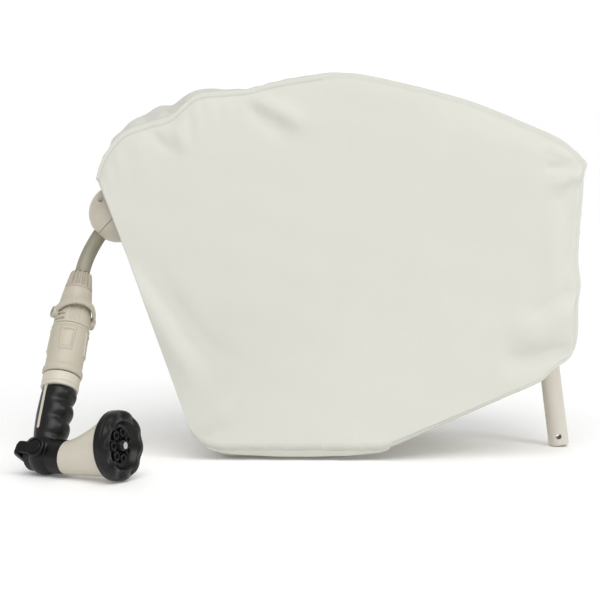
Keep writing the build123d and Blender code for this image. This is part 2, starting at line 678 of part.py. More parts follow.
body = turned([(0, 6), (16, 6), (16, sleeve_length), (18.8, sleeve_length), (18.4, 70),
               (16.2, 88), (nut_foot_radius, nut_foot), (hose_radius - 0.5, nut_foot),
               (hose_radius - 0.5, hose_end), (0, hose_end)])
body -= Pos(0, 0, socket_depth / 2) * Cylinder(socket_radius, socket_depth + 0.02)
body -= Pos(0, 0, (socket_depth + hose_end) / 2) * Cylinder(valve_bore, hose_end - socket_depth + 2)
body -= Pos(0, 0, bail_up) * Sphere(valve_ball_radius + 0.3)
bail_angle = -90 - bail_turn
bail_axis = Vector(math.cos(math.radians(bail_angle)), math.sin(math.radians(bail_angle)), 0)
bail_frame = frame_at(Vector(0, 0, bail_up), Vector(0, 0, 1), bail_axis)   # z along the pivot
body -= bail_frame * Cylinder(spindle_radius + 0.08, 60)
for slot_z in (sleeve_length + 2.6, sleeve_length + 6.6):
    cut = Pos(0, 0, slot_z) * (Cylinder(30, 1.5) - Cylinder(17.2, 2))
    sector = Pos(-20, -12, slot_z) * Box(22, 22, 4)
    body -= cut & (Rot(0, 0, 10) * sector)
keep("connector_body", connector_frame * body)

sleeve = turned([(0, 0), (sleeve_radius - 0.6, 0), (sleeve_radius, 4), (sleeve_radius - 0.4, 30),
                 (sleeve_radius - 0.4, sleeve_length - 8), (18.8, sleeve_length),
                 (0, sleeve_length)])
sleeve -= Cylinder(16, 3 * sleeve_length)
pad_turn = -87.0           # degrees round to the pad that faces forward
for pad in range(4):
    frame_pad = Pos(sleeve_radius - 0.6, 0, 34) * Box(3.4, 15, 28)
    frame_pad -= Pos(sleeve_radius + 0.6, 0, 34) * Box(2.2, 11, 24)
    sleeve += Rot(0, 0, 90 * pad + pad_turn) * (frame_pad - Cylinder(16, 200))
keep("connector_sleeve", connector_frame * sleeve)
keep("connector_seal", connector_frame * Pos(0, 0, 17.5) * (
    Cylinder(socket_radius, 3) - Cylinder(valve_bore + 2.5, 4)))

# ---- bail lever and its valve, drawn with z along the pivot and x up the connector -------------
eye_inner = 18.9
eye_outer = 22.4
eye_radius = 5.2
bail_reach = 26.5
bail_rise = 26.0           # degrees that the bow stands up from square to the connector
band_width = 6.0
bow = Ellipse(eye_outer, bail_reach) - Ellipse(eye_outer - bail_band, bail_reach - bail_band)
bow = bow & (Pos(0, bail_reach) * Rectangle(4 * bail_reach, 2 * bail_reach))
bow_frame = frame_at(Vector(0, 0, 0), Vector(0, 0, 1), Vector(1, 0, 0))
bail = bow_frame * extrude(bow, band_width / 2, both=True)
bail = Rot(0, 0, bail_rise) * bail
bail_screws = []
for side in (-1, 1):
    bail += Pos(0, 0, side * (eye_inner + eye_outer) / 2) * Cylinder(eye_radius, eye_outer - eye_inner)
    head = Pos(0, 0, side * (eye_outer + 0.6)) * Cylinder(spindle_radius + 0.7, 1.2)
    head -= Pos(0, 0, side * (eye_outer + 1.2)) * Box(1, 5, 1)
    head -= Pos(0, 0, side * (eye_outer + 1.2)) * Box(5, 1, 1)
    bail_screws.append(connector_frame * bail_frame * head)
bail -= Cylinder(spindle_radius, 4 * eye_outer)
keep("bail_lever", connector_frame * bail_frame * bail)
keep("bail_screws", Compound(children=bail_screws))
valve = Sphere(valve_ball_radius) + Cylinder(spindle_radius, 2 * eye_outer)
valve -= Rot(0, 90, 0) * Cylinder(valve_bore, 4 * valve_ball_radius)
keep("shut_off_ball", connector_frame * bail_frame * valve)

# ---- spray gun --------------------------------------------------------------------------------
heading = math.radians(nozzle_heading)
barrel_dir = Vector(math.cos(heading), -math.sin(heading), 0)
gun_up = (axis_up - barrel_dir * axis_up.dot(barrel_dir)).normalized()
gun_origin = connector_rim - axis_up * handle_length
gun_frame = frame_at(gun_origin, barrel_dir, gun_up)
handle_x = axis_up.dot(barrel_dir)
handle_z = axis_up.dot(gun_up)
handle_frame = frame_at(Vector(0, 0, 0), Vector(handle_z, 0, -handle_x), Vector(handle_x, 0, handle_z))
collar_low = handle_length - collar_length
collar_high = handle_length - 0.5
spigot_radius = socket_radius - turning_gap
waterway = 5.0
core_low = 12.0


def on_handle(shape):
    """Place a piece drawn with z up the handle."""
    return gun_frame * handle_frame * shape


collar = Pos(0, 0, collar_low) * extrude(Circle(collar_radius), collar_high - collar_low)
collar = fillet(collar.edges().group_by(Axis.Z)[-1], 1.0)
collar += Pos(0, 0, collar_high) * extrude(Circle(spigot_radius), 15.5 - 0.5)
collar -= Pos(0, 0, handle_length) * Cylinder(waterway, 4 * collar_length)
keep("gun_collar", on_handle(collar))

side_flat = 18.4
stem_radius = 4.0
stem_room = 6.0
barrel = Rot(0, 90, 0) * Pos(0, 0, (barrel_end + barrel_back) / 2) * Cylinder(
    barrel_radius, barrel_end - barrel_back)
gun_core = barrel + Sphere(heel_radius)
gun_core += handle_frame * Pos(0, 0, collar_low / 2) * Cylinder(grip_core_radius, collar_low)
gun_core = gun_core & Box(400, 2 * side_flat, 400)
gun_core -= Rot(0, 90, 0) * Pos(0, 0, barrel_end) * Cylinder(stem_room, 2 * (barrel_end + 10))
gun_core -= Rot(0, 90, 0) * Cylinder(stem_radius + turning_gap, 200)
gun_core -= handle_frame * Pos(0, 0, core_low / 2 + collar_low / 2) * Cylinder(
    waterway, collar_low - core_low + 12)
lever_pin_radius = 3.0
for side in (-1, 1):
    gun_core -= Pos(0, side * side_flat, 0) * Rot(90, 0, 0) * Cylinder(lever_pin_radius, 12)
keep("gun_barrel", gun_frame * gun_core)

finger_places = (65.5, 46.5, 28.0)
grip = Pos(0, 0, core_low) * extrude(Circle(15.8), collar_low - core_low, taper=-2.2)
for finger_z in finger_places:
    grip += Pos(7.0, 0, finger_z) * Rot(90, 0, 0) * Cylinder(11.3, 22)
grip = grip & Pos(0, 0, collar_low / 2) * Cylinder(19.4, collar_low)
grip_back = Pos(-13.5, 0, 44) * Rot(90, 0, 0) * extrude(
    RectangleRounded(9, 44, 3), 9, both=True)
grip += grip_back
grip -= Cylinder(grip_core_radius, 400)
barrel_bar = Rot(0, 90, 0) * Cylinder(barrel_radius, 300)
grip -= handle_frame.inverse() * (barrel_bar + Sphere(heel_radius))
strip_turn = 249.0
strip_room = Rot(0, 0, strip_turn) * Pos(17.0, 0, 50) * Box(4.4, 3.0, 45)
strip_piece = strip_room & (Cylinder(17.9, 400) - Cylinder(15.2, 400))
grip -= strip_room
keep("hand_grip", on_handle(grip))
keep("grip_strip", on_handle(strip_piece))

dial_frame = frame_at(Vector(dial_centre_x, 0, dial_rise), Vector(0, 1, 0),
                      Vector(math.cos(math.radians(dial_tilt)), 0, math.sin(math.radians(dial_tilt))))
dial_back = -dial_thickness / 2
bell_front = dial_back - 0.5
bell_wall = 3.0
round_back = frame_at(Vector(barrel_end, 0, 0), Vector(0, 1, 0), Vector(1, 0, 0))
bell = loft([round_back * Circle(barrel_radius), dial_frame * Pos(0, 0, bell_front) * Circle(bell_radius)])
bell -= loft([round_back * Circle(barrel_radius - bell_wall),
              dial_frame * Pos(0, 0, bell_front - bell_wall) * Circle(bell_radius - bell_wall)])
screw_shank = 2.0
bell -= dial_frame * Cylinder(screw_shank, 100)
keep("nozzle_bell", gun_frame * bell)

scallops = 9
dial = Cylinder(dial_radius, dial_thickness)
dial = fillet(dial.edges().group_by(Axis.Z)[-1], 3.0)
for scallop in range(scallops):
    bite = Pos(dial_radius + 7.5, 0, 2.5) * Cylinder(9.5, dial_thickness)
    dial -= Rot(0, 0, 360 / scallops * (scallop + 0.5)) * bite
dish_radius = 21.0
dish_depth = 6.0
dish = Pos(0, 0, dial_thickness / 2 - dish_depth / 2) * Cone(dish_radius - 4, dish_radius, dish_depth)
dial -= dish
boss_top = dial_thickness / 2 - 2
dial += Pos(0, 0, boss_top - (dish_depth - 2) / 2) * Cylinder(5.5, dish_depth - 2)
patterns = 7
for pattern in range(patterns):
    hole_set = Pos(11.5, 0, 0) * Cylinder(1.1, 60)
    if pattern % 2 == 0:
        for spot in range(5):
            hole_set += Pos(11.5, 0, 0) * Rot(0, 0, 72 * spot) * Pos(2.9, 0, 0) * Cylinder(0.7, 60)
    dial -= Rot(0, 0, 360 / patterns * pattern) * hole_set
dial -= Cylinder(screw_shank + 0.08, 60)
keep("spray_dial", gun_frame * dial_frame * dial)
dial_screw_tip = bell_front - bell_wall - 2
dial_screw_head = boss_top + turning_gap
dial_screw = Pos(0, 0, (dial_screw_tip + dial_screw_head) / 2) * Cylinder(
    screw_shank, dial_screw_head - dial_screw_tip)
dial_screw += Pos(0, 0, dial_screw_head + 1.0) * Cylinder(3.4, 2.0)
dial_screw -= Pos(0, 0, dial_screw_head + 2.0) * (Box(4, 0.9, 1.4) + Box(0.9, 4, 1.4))
keep("dial_screw", gun_frame * dial_frame * dial_screw)

stem_travel = 4.0
stem = Rot(0, 90, 0) * Pos(0, 0, -2) * Cylinder(stem_radius, 36)
stem += Rot(0, 90, 0) * Pos(0, 0, barrel_end - 8) * Cylinder(stem_room - turning_gap, 6)
keep("valve_stem", gun_frame * stem)

lever_disc = 9.6
lever_thickness = 3.6
paddle_x = -23.2           # middle of the paddle, close behind the heel
paddle_thickness = 5.0
paddle_low = -9.0
paddle_high = 3.0
paddle_half = side_flat + lever_gap + lever_thickness
lever = box(paddle_x - paddle_thickness / 2, paddle_x + paddle_thickness / 2,
            -paddle_half, paddle_half, paddle_low, paddle_high)
for side in (-1, 1):
    y = side * (side_flat + lever_gap + lever_thickness / 2)
    arm = Pos(0, y, 0) * Rot(90, 0, 0) * Cylinder(lever_disc, lever_thickness)
    arm += Pos(paddle_x / 2, y, (paddle_low + paddle_high) / 2) * Box(
        -paddle_x, lever_thickness, paddle_high - paddle_low)
    arm -= Pos(0, y, 0) * Rot(90, 0, 0) * Cylinder(lever_pin_radius + 0.08, 2 * lever_thickness)
    lever += arm
keep("thumb_lever", gun_frame * lever)
lever_pins = []
for side in (-1, 1):
    low = side_flat - 6
    high = paddle_half
    pin = Pos(0, side * (low + high) / 2, 0) * Rot(90, 0, 0) * Cylinder(lever_pin_radius, high - low)
    lever_pins.append(gun_frame * pin)
keep("lever_pins", Compound(children=lever_pins))

# ---- write and report ----------------------------------------------------------------------------
for name, shape in nodes.items():
    export_step(shape, f"parts/{name}.step")

on_hose = {"free_hose", "ball_upper_half", "ball_lower_half", "ball_screws", "hose_nut",
           "connector_body", "connector_sleeve", "connector_seal", "bail_lever", "bail_screws",
           "shut_off_ball", "gun_collar", "gun_barrel", "hand_grip", "grip_strip", "nozzle_bell",
           "spray_dial", "dial_screw", "valve_stem", "thumb_lever", "lever_pins"}


def span(names):
    """Lowest and highest corner of some nodes."""
    boxes = [nodes[n].bounding_box() for n in names]
    low = [round(min(getattr(b.min, a) for b in boxes), 2) for a in "XYZ"]
    high = [round(max(getattr(b.max, a) for b in boxes), 2) for a in "XYZ"]
    return low, high


def place_of(point):
    """Point in metres, standing."""
    return [round(c / 1000, 6) for c in point]


def stood(vector):
    """An upright point or direction, standing."""
    return Vector(vector.X, vector.Y, vector.Z).rotate(Axis.Y, -reel_lean)


print("reel spans", span([n for n in nodes if n not in on_hose]))
print("hose end spans", span(sorted(on_hose)))
print("nodes", len(nodes))
print("post axis point", place_of(stood(Vector(post_x, 0, post_foot_z))), "hole",
      place_of(stood(Vector(post_x, 0, lock_z))), "up", tuple(stood(Vector(0, 0, 1))))
print("post pin length", round(post_pin, 2), "middle",
      place_of(stood(Vector(post_x, 0, post_foot_z + post_end_fillet + post_pin / 2))))
print("inlet pin length", round(inlet_stub - 1 - inlet_collar_length, 2))
print("outlet plate", place_of(stood(outlet)), "inward", tuple(stood(inward)), "up", tuple(stood(front_run)))
front_middle = Vector(seat_front[0], 0, seat_front[1]) + front_run * 200
print("case front is out from the plate by", round((outlet - front_middle).dot(inward), 2))
print("drum centre", place_of(stood(drum_centre)))
print("guide screw", place_of(stood(screw_at)))
for name, place in roller_at.items():
    print(name, "roller", place_of(stood(Vector(place.X, guide_y, place.Z))))
print("pawl pivot", place_of(stood(pawl_pivot)))
print("inlet end", place_of(stood(Vector(drum_x, inlet_y, drum_z) + slope_out * bar_end)),
      "out", tuple(stood(slope_out)), "stub from", round(inlet_run, 2))
print("connector rim", place_of(connector_rim), "axis", tuple(axis_up))
bail_world = connector_frame * bail_frame
print("bail pivot", place_of(bail_world.position), "axis", tuple(Plane(bail_world).z_dir))
print("gun origin", place_of(gun_origin), "barrel", tuple(barrel_dir), "across",
      tuple(Plane(gun_frame).y_dir), "handle angle", round(axis_up.get_angle(barrel_dir), 2))
dial_world = gun_frame * dial_frame
print("dial centre", place_of(dial_world.position), "axis", tuple(Plane(dial_world).z_dir))
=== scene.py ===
import json

import bmesh
import bpy
import numpy as np
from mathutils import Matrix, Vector


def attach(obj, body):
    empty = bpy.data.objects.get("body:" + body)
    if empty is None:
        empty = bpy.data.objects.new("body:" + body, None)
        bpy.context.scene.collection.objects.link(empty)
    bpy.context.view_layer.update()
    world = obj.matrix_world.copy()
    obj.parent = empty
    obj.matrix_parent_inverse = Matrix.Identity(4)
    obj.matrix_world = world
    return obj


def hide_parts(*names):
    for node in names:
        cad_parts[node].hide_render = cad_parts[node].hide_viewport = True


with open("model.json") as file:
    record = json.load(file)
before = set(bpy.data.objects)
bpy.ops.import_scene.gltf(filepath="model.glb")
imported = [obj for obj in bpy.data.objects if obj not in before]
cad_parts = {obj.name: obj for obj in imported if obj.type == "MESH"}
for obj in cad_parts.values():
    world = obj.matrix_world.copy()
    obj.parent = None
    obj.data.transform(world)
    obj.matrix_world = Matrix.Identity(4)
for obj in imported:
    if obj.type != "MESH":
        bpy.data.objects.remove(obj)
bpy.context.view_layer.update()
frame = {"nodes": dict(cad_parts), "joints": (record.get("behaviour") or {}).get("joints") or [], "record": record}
nodes = frame["nodes"]
record = frame["record"]
joints = {joint["name"]: joint for joint in frame["joints"]}
mm = 0.001
# the hose end's own sizes are in mm and degrees, about its joints; the hose and the cover are in metres
print("frame loaded:", len(nodes), "nodes")


# shader maths: a socket that takes part in Python expressions
class Signal:
    def __init__(self, board, socket):
        self.board = board
        self.socket = socket

    def maths(self, kind, first, second=0.0):
        return self.board.node("ShaderNodeMath", {"operation": kind}, {0: first, 1: second})

    def __add__(self, other):
        return self.maths("ADD", self, other)

    def __radd__(self, other):
        return self.maths("ADD", other, self)

    def __sub__(self, other):
        return self.maths("SUBTRACT", self, other)

    def __rsub__(self, other):
        return self.maths("SUBTRACT", other, self)

    def __mul__(self, other):
        return self.maths("MULTIPLY", self, other)

    def __rmul__(self, other):
        return self.maths("MULTIPLY", other, self)

    def __lt__(self, other):
        return self.maths("LESS_THAN", self, other)

    def __gt__(self, other):
        return self.maths("GREATER_THAN", self, other)

    def __abs__(self):
        return self.maths("ABSOLUTE", self)

    def sine(self):
        return self.maths("SINE", self)


# one material's nodes: a Principled shader, with its fixed sockets given by name
class Board:
    def __init__(self, name, **fixed):
        self.material = bpy.data.materials.new(name)
        self.material.use_nodes = True
        self.tree = self.material.node_tree
        self.tree.nodes.clear()
        self.shader = self.tree.nodes.new("ShaderNodeBsdfPrincipled")
        output = self.tree.nodes.new("ShaderNodeOutputMaterial")
        self.tree.links.new(self.shader.outputs[0], output.inputs[0])
        for socket, value in fixed.items():
            self.shader.inputs[socket.replace("_", " ")].default_value = value

    def node(self, kind, settings=None, values=None, out=0):
        made = self.tree.nodes.new(kind)
        for setting, value in (settings or {}).items():
            if setting == "stops":
                for stop, (place, colour) in zip(made.color_ramp.elements, value):
                    stop.position = place
                    stop.color = colour
            else:
                setattr(made, setting, value)
        for socket, value in (values or {}).items():
            self.plug(made.inputs[socket], value)
        return Signal(self, made.outputs[out])

    def plug(self, target, value):
        if isinstance(value, Signal):
            self.tree.links.new(value.socket, target)
        else:
            target.default_value = value

    def feed(self, socket, value):
        self.plug(self.shader.inputs[socket], value)

    def place(self):
        return self.node("ShaderNodeTexCoord", out=3)

    def axes(self, vector):
        split = self.node("ShaderNodeSeparateXYZ", values={0: vector})
        return [Signal(self, socket) for socket in split.socket.node.outputs]

    def noise(self, vector, scale, detail=3.0, rough=0.5):
        return self.node("ShaderNodeTexNoise", values={
            "Vector": vector, "Scale": scale, "Detail": detail, "Roughness": rough})

    def blend(self, amount, first, second):
        return self.node("ShaderNodeMix", {"data_type": "RGBA", "clamp_factor": True},
                         {0: amount, 6: first, 7: second}, out=2)

    def bump(self, height, strength, distance):
        self.feed("Normal", self.node("ShaderNodeBump", values={
            "Height": height, "Strength": strength, "Distance": distance}))


def linear(red, green, blue):  # display colour, 0 to 255, to the shader's own scale
    share = np.array([red, green, blue]) / 255
    low = share / 12.92
    high = ((share + 0.055) / 1.055) ** 2.4
    return (*np.where(share <= 0.04045, low, high), 1.0)


def shade(colour, factor):  # the same colour, lighter or darker
    return (*(part * factor for part in colour[:3]), 1.0)


# finishes
def mouldedPlastic(name, colour, roughness, grain=900.0, grainDepth=0.00006, mottle=0.05, **fixed):
    # a faintly cloudy colour and shine over a fine moulded grain
    board = Board(name, IOR=1.46, **fixed)
    place = board.place()
    cloudy = board.noise(place, 22.0, 4.0)
    fine = board.noise(place, grain, 2.0)
    board.feed("Base Color", board.blend(cloudy, shade(colour, 1 - mottle), shade(colour, 1 + mottle)))
    board.feed("Roughness", roughness - 0.06 + cloudy * 0.12)
    board.bump(fine, 0.35, grainDepth)
    return board.material


def turnedMetal(name, colour, roughness, **fixed):
    # cloudy metal with fine scratches that run square to Y
    board = Board(name, **fixed)
    place = board.place()
    cloudy = board.noise(place, 60.0, 5.0)
    scratches = board.noise(board.node("ShaderNodeMapping", values={
        "Vector": place, "Scale": (40.0, 1400.0, 40.0)}), 1.0, 3.0)
    board.feed("Base Color", board.blend(cloudy, shade(colour, 0.9), shade(colour, 1.06)))
    board.feed("Roughness", roughness - 0.08 + scratches * 0.16)
    board.bump(scratches, 0.2, 0.00004)
    return board.material


def softRubber(name, colour, roughness, grain=1500.0, **fixed):
    # cloudy rubber whose shine breaks up with its grain
    board = Board(name, IOR=1.5, **fixed)
    place = board.place()
    cloudy = board.noise(place, 35.0, 5.0)
    fine = board.noise(place, grain, 3.0, 0.7)
    board.feed("Base Color", board.blend(cloudy, shade(colour, 0.86), shade(colour, 1.12)))
    board.feed("Roughness", roughness - 0.1 + fine * 0.2)
    board.bump(fine, 0.5, 0.00008)
    return board.material


creamNut = linear(176, 167, 152)
creamSleeve = linear(188, 181, 165)
finishes = {
    "case_plastic": mouldedPlastic("casePlastic", linear(206, 203, 190), 0.5),
    "frame_plastic": mouldedPlastic("framePlastic", linear(150, 148, 138), 0.5),
    "inner_plastic": mouldedPlastic("innerPlastic", linear(62, 62, 62), 0.5),
    "bearing_plastic": mouldedPlastic("bearingPlastic", linear(228, 228, 224), 0.35),
    "post_paint": mouldedPlastic("postPaint", linear(213, 208, 196), 0.34, 500.0, 0.00003, 0.03,
                                 Coat_Weight=0.2),
    "steel": turnedMetal("plainSteel", linear(176, 176, 174), 0.34, Metallic=1.0),
    "spring_steel": turnedMetal("springSteel", linear(112, 114, 120), 0.3, Metallic=1.0),
    "hose_rubber": softRubber("hoseRubber", linear(146, 141, 124), 0.42),
    "belt_rubber": softRubber("beltRubber", linear(34, 34, 34), 0.7),
    "seal_rubber": softRubber("sealRubber", linear(28, 28, 28), 0.6),
    "ball_plastic": mouldedPlastic("ballPlastic", linear(196, 189, 173), 0.38, 700.0),
    "nut_plastic": mouldedPlastic("nutPlastic", creamNut, 0.36),
    "sleeve_plastic": mouldedPlastic("sleevePlastic", creamSleeve, 0.42),
    "valve_plastic": mouldedPlastic("valvePlastic", linear(96, 96, 94), 0.4),
    "grip_rubber": softRubber("gripRubber", linear(14, 14, 14), 0.34, Specular_IOR_Level=0.36),
    "gun_black": mouldedPlastic("gunBlack", linear(10, 10, 9), 0.32, Specular_IOR_Level=0.32),
    "gun_cream": mouldedPlastic("gunCream", linear(203, 197, 182), 0.34),
    "dial_plastic": mouldedPlastic("dialPlastic", linear(9, 9, 9), 0.33, Specular_IOR_Level=0.36),
    "bright_screw": turnedMetal("brightScrew", linear(214, 214, 212), 0.14, Metallic=1.0),
}
for part in record["subparts"]:
    finish = finishes.get(part["material_slot"])
    if finish:
        for materialSlot in nodes[part["node"]].material_slots:
            materialSlot.link = "OBJECT"
            materialSlot.material = finish
print("finishes given")


# mesh helpers
def unit(vector):  # the same direction, one long
    vector = np.array(vector, float)
    return vector / np.linalg.norm(vector)


def axesFrom(origin, zAxis, xHint):  # rows are the frame's X, Y and Z directions
    zAxis = unit(zAxis)
    xAxis = unit(np.array(xHint, float) - zAxis * np.dot(xHint, zAxis))
    return np.array(origin, float), np.array([xAxis, np.cross(zAxis, xAxis), zAxis])


def placed(points, where):  # local points in mm to places in metres
    origin, rows = where
    return origin + (points * mm) @ rows


def lengthAlong(points):  # distance from the first point to each point, along the line
    return np.concatenate([[0], np.cumsum(np.linalg.norm(np.diff(points, axis=0), axis=1))])


def curveThrough(points, count):
    # Catmull-Rom curve through the points, then spaced evenly along its own length
    points = np.array(points, float)
    ends = np.vstack([2 * points[0] - points[1], points, 2 * points[-1] - points[-2]])
    step = np.linspace(0, len(points) - 1, 40 * (len(points) - 1) + 1)
    first = np.minimum(step.astype(int), len(points) - 2)
    part = (step - first)[:, None]
    a, b, c, d = ends[first], ends[first + 1], ends[first + 2], ends[first + 3]
    dense = 0.5 * (2 * b + (c - a) * part + (2 * a - 5 * b + 4 * c - d) * part**2
                   + (3 * b - a - 3 * c + d) * part**3)
    run = lengthAlong(dense)
    even = np.linspace(0, run[-1], count)
    return np.stack([np.interp(even, run, dense[:, k]) for k in range(points.shape[1])], axis=1)


def gridFaces(rows, columns, closed=False, start=0):
    # one four-sided face for each cell of a grid; a closed grid joins its last column to its first
    across = columns if closed else columns - 1
    row = np.arange(rows - 1)[:, None]
    column = np.arange(across)[None, :]
    after = (column + 1) % columns
    cell = np.stack([row * columns + column, row * columns + after,
                     (row + 1) * columns + after, (row + 1) * columns + column], axis=-1)
    return cell.reshape(-1, 4) + start


def makePiece(name, points, faces, body, finish, replaces=(), smooth=True, angle=None, weld=0.0):
    # points and faces made a mesh on one body; doubles are merged, then the faces turned outwards
    mesh = bpy.data.meshes.new(name)
    mesh.from_pydata(points.tolist(), [], faces.tolist())
    mesh.update()
    piece = bpy.data.objects.new(name, mesh)
    bpy.context.scene.collection.objects.link(piece)
    build = bmesh.new()
    build.from_mesh(mesh)
    if weld:
        bmesh.ops.remove_doubles(build, verts=build.verts, dist=weld)
        bmesh.ops.recalc_face_normals(build, faces=build.faces)
    build.to_mesh(mesh)
    build.free()
    mesh.polygons.foreach_set("use_smooth", np.full(len(mesh.polygons), smooth))
    if angle:
        mesh.set_sharp_from_angle(angle=np.radians(angle))
    mesh.materials.append(finish)
    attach(piece, body)
    if replaces:
        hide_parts(*replaces)
    return piece


def turned(name, profile, where, body, finish, turns=96, shape=None, **more):
    # profile of (radius, height) in mm carried round the Z axis; shape may change it by angle
    profile = np.array(profile, float)
    angle = np.linspace(0, 2 * np.pi, turns, endpoint=False)
    radius = np.repeat(profile[:, :1], turns, axis=1)
    height = np.repeat(profile[:, 1:], turns, axis=1)
    if shape:
        radius, height = shape(radius, height, angle[None, :])
    points = np.stack([radius * np.cos(angle), radius * np.sin(angle), height], axis=-1)
    faces = gridFaces(len(profile), turns, closed=True)
    return makePiece(name, placed(points.reshape(-1, 3), where), faces, body, finish,
                     weld=0.00002, **more)


def rounded(profile, count):  # the same profile with more points, its corners kept
    profile = np.array(profile, float)
    run = lengthAlong(profile)
    even = np.unique(np.concatenate([np.linspace(0, run[-1], count), run]))
    return np.stack([np.interp(even, run, profile[:, k]) for k in (0, 1)], axis=1)


def hump(value, middle, width):  # a bell curve, 1 at its middle
    return np.exp(-(((value - middle) / width) ** 2))


def softStep(value, edge, steepness):  # 1 below the edge and 0 above it
    return 1 / (1 + np.exp((value - edge) * steepness))


def turnFrom(angle, degrees):  # signed angle from a direction, within half a turn either way
    return (angle - np.radians(degrees) + np.pi) % (2 * np.pi) - np.pi


def squared(wave, power):  # a sine or cosine made squarer: its size to a power, its sign kept
    return np.sign(wave) * np.abs(wave) ** power


def capped(grid):  # rings closed by one point at each end
    ends = [np.repeat(grid[end].mean(axis=0)[None], grid.shape[1], axis=0)[None] for end in (0, -1)]
    return np.concatenate([ends[0], grid, ends[1]])


def bossRings(profile, side, turns):
    # profile of (radius, height) carried round the Z axis, on its plus or its minus side
    turn = np.linspace(0, 2 * np.pi, turns, endpoint=False)[None, :]
    radius, height = profile[:, :1], profile[:, 1:]
    return np.stack([radius * np.cos(turn), radius * np.sin(turn), side * height + 0 * turn], axis=-1)


# camera, floor and light
view = {"place": (-0.0437, -2.4, 0.388), "pitch": 5.457, "lens": 133.95}
camera = bpy.data.objects.new("camera", bpy.data.cameras.new("camera"))
bpy.context.scene.collection.objects.link(camera)
camera.location = view["place"]
camera.rotation_euler = (np.radians(90 - view["pitch"]), 0, 0)
camera.data.lens = view["lens"]
camera.data.sensor_width = 36
camera.data.clip_end = 50
bpy.context.scene.camera = camera
bpy.context.scene.view_settings.view_transform = "Standard"

studio = {"floorSize": 60.0, "floorColour": (0.97, 0.97, 0.97, 1), "behind": 1.04, "round": 0.5,
          "sun": 1.6, "sunTurn": (36, 0, 6), "sunAngle": 50, "key": 8.0, "fill": 1.0, "glow": 0.08}
floorMesh = bpy.data.meshes.new("floor")
half = studio["floorSize"] / 2
floorMesh.from_pydata([(-half, -half, 0), (half, -half, 0), (half, half, 0), (-half, half, 0)],
                      [], [(0, 1, 2, 3)])
floor = bpy.data.objects.new("floor", floorMesh)
bpy.context.scene.collection.objects.link(floor)
floor.location.z = -0.0002
floorBoard = Board("paleFloor", Roughness=0.7, Base_Color=studio["floorColour"],
                   Emission_Color=(1, 1, 1, 1), Emission_Strength=studio["glow"])
floorMesh.materials.append(floorBoard.material)
# the room is a light tent: brightest on the wall behind, softer elsewhere
world = bpy.data.worlds.new("studio")
bpy.context.scene.world = world
world.use_nodes = True
tent = world.node_tree
background = tent.nodes["Background"]
outlook = tent.nodes.new("ShaderNodeTexCoord")
sides = tent.nodes.new("ShaderNodeSeparateXYZ")
wall = tent.nodes.new("ShaderNodeMapRange")
wall.interpolation_type = "SMOOTHSTEP"
for socket, value in zip(wall.inputs[1:5], (0.55, 0.93, studio["round"], studio["behind"])):
    socket.default_value = value
tent.links.new(outlook.outputs["Generated"], sides.inputs[0])
tent.links.new(sides.outputs["Y"], wall.inputs[0])
tent.links.new(wall.outputs[0], background.inputs[1])
background.inputs[0].default_value = (1, 1, 1, 1)
sun = bpy.data.objects.new("sun", bpy.data.lights.new("sun", "SUN"))
sun.data.energy = studio["sun"]
sun.data.angle = np.radians(studio["sunAngle"])
sun.rotation_euler = np.radians(studio["sunTurn"])
bpy.context.scene.collection.objects.link(sun)


def softLight(name, place, target, size, power):  # a round soft lamp that looks at its target
    lamp = bpy.data.objects.new(name, bpy.data.lights.new(name, "AREA"))
    lamp.data.shape = "DISK"
    lamp.data.size = size
    lamp.data.energy = power
    lamp.location = place
    lamp.rotation_euler = (Vector(target) - Vector(place)).to_track_quat("-Z", "Y").to_euler()
    bpy.context.scene.collection.objects.link(lamp)


softLight("keyLight", (1.5, -1.4, 1.5), (0, 0, 0.2), 0.7, studio["key"])
softLight("fillLight", (-1.8, -1.4, 0.9), (0, 0, 0.2), 1.4, studio["fill"])
print("studio set")

# free hose: the route's points are the spline's own control points
hose = {
    "route": [(-0.2320, -0.0575, 0.2585), (-0.2492, -0.0575, 0.2406), (-0.2626, -0.0623, 0.2200),
              (-0.2713, -0.0718, 0.1984), (-0.2744, -0.0850, 0.1775)],
    "radius": 0.00775, "length": 0.0995, "colour": linear(146, 141, 124),
}


def hoseFinish():
    # knitted yarn under a clear skin: two sets of slanting lines
    board = Board("freeHoseSkin", IOR=1.5, Coat_Weight=0.15, Coat_Roughness=0.3)
    place = board.place()
    across, _, along = board.axes(place)
    knit = abs((along * 900 + across * 900).sine()) * abs((along * 900 - across * 900).sine())
    cloudy = board.noise(place, 40.0, 4.0)
    colour = hose["colour"]
    board.feed("Base Color", board.blend(cloudy * 0.7 + knit * 0.3, shade(colour, 0.84),
                                         shade(colour, 1.1)))
    board.feed("Roughness", 0.38 + cloudy * 0.14)
    board.bump(knit, 0.25, 0.00012)
    return board.material


hoseCurve = bpy.data.curves.new("freeHose", "CURVE")
hoseCurve.dimensions = "3D"
spline = hoseCurve.splines.new("NURBS")
spline.points.add(len(hose["route"]) - 1)
spline.points.foreach_set("co", np.array([(*p, 1.0) for p in hose["route"]]).ravel())
spline.order_u = 3
spline.use_endpoint_u = True
spline.resolution_u = 24
hoseCurve.bevel_depth = hose["radius"]
hoseCurve.bevel_resolution = 12
hoseCurve.use_fill_caps = True
hoseCurve.materials.append(hoseFinish())
freeHose = bpy.data.objects.new("freeHose", hoseCurve)
bpy.context.scene.collection.objects.link(freeHose)
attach(freeHose, "carriage")
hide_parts("free_hose")
print("hose laid")

# hose-end connector
connectorAt = axesFrom(joints["gun_twist"]["pos_m"], joints["gun_twist"]["axis"], (1, 0, 0))
nut = {"flutes": 14, "depth": 2.6, "middle": 109.5, "spread": 8.6, "low": 101.0, "high": 118.3,
       "bore": 9.2, "root": -0.2, "crest": 0.6}


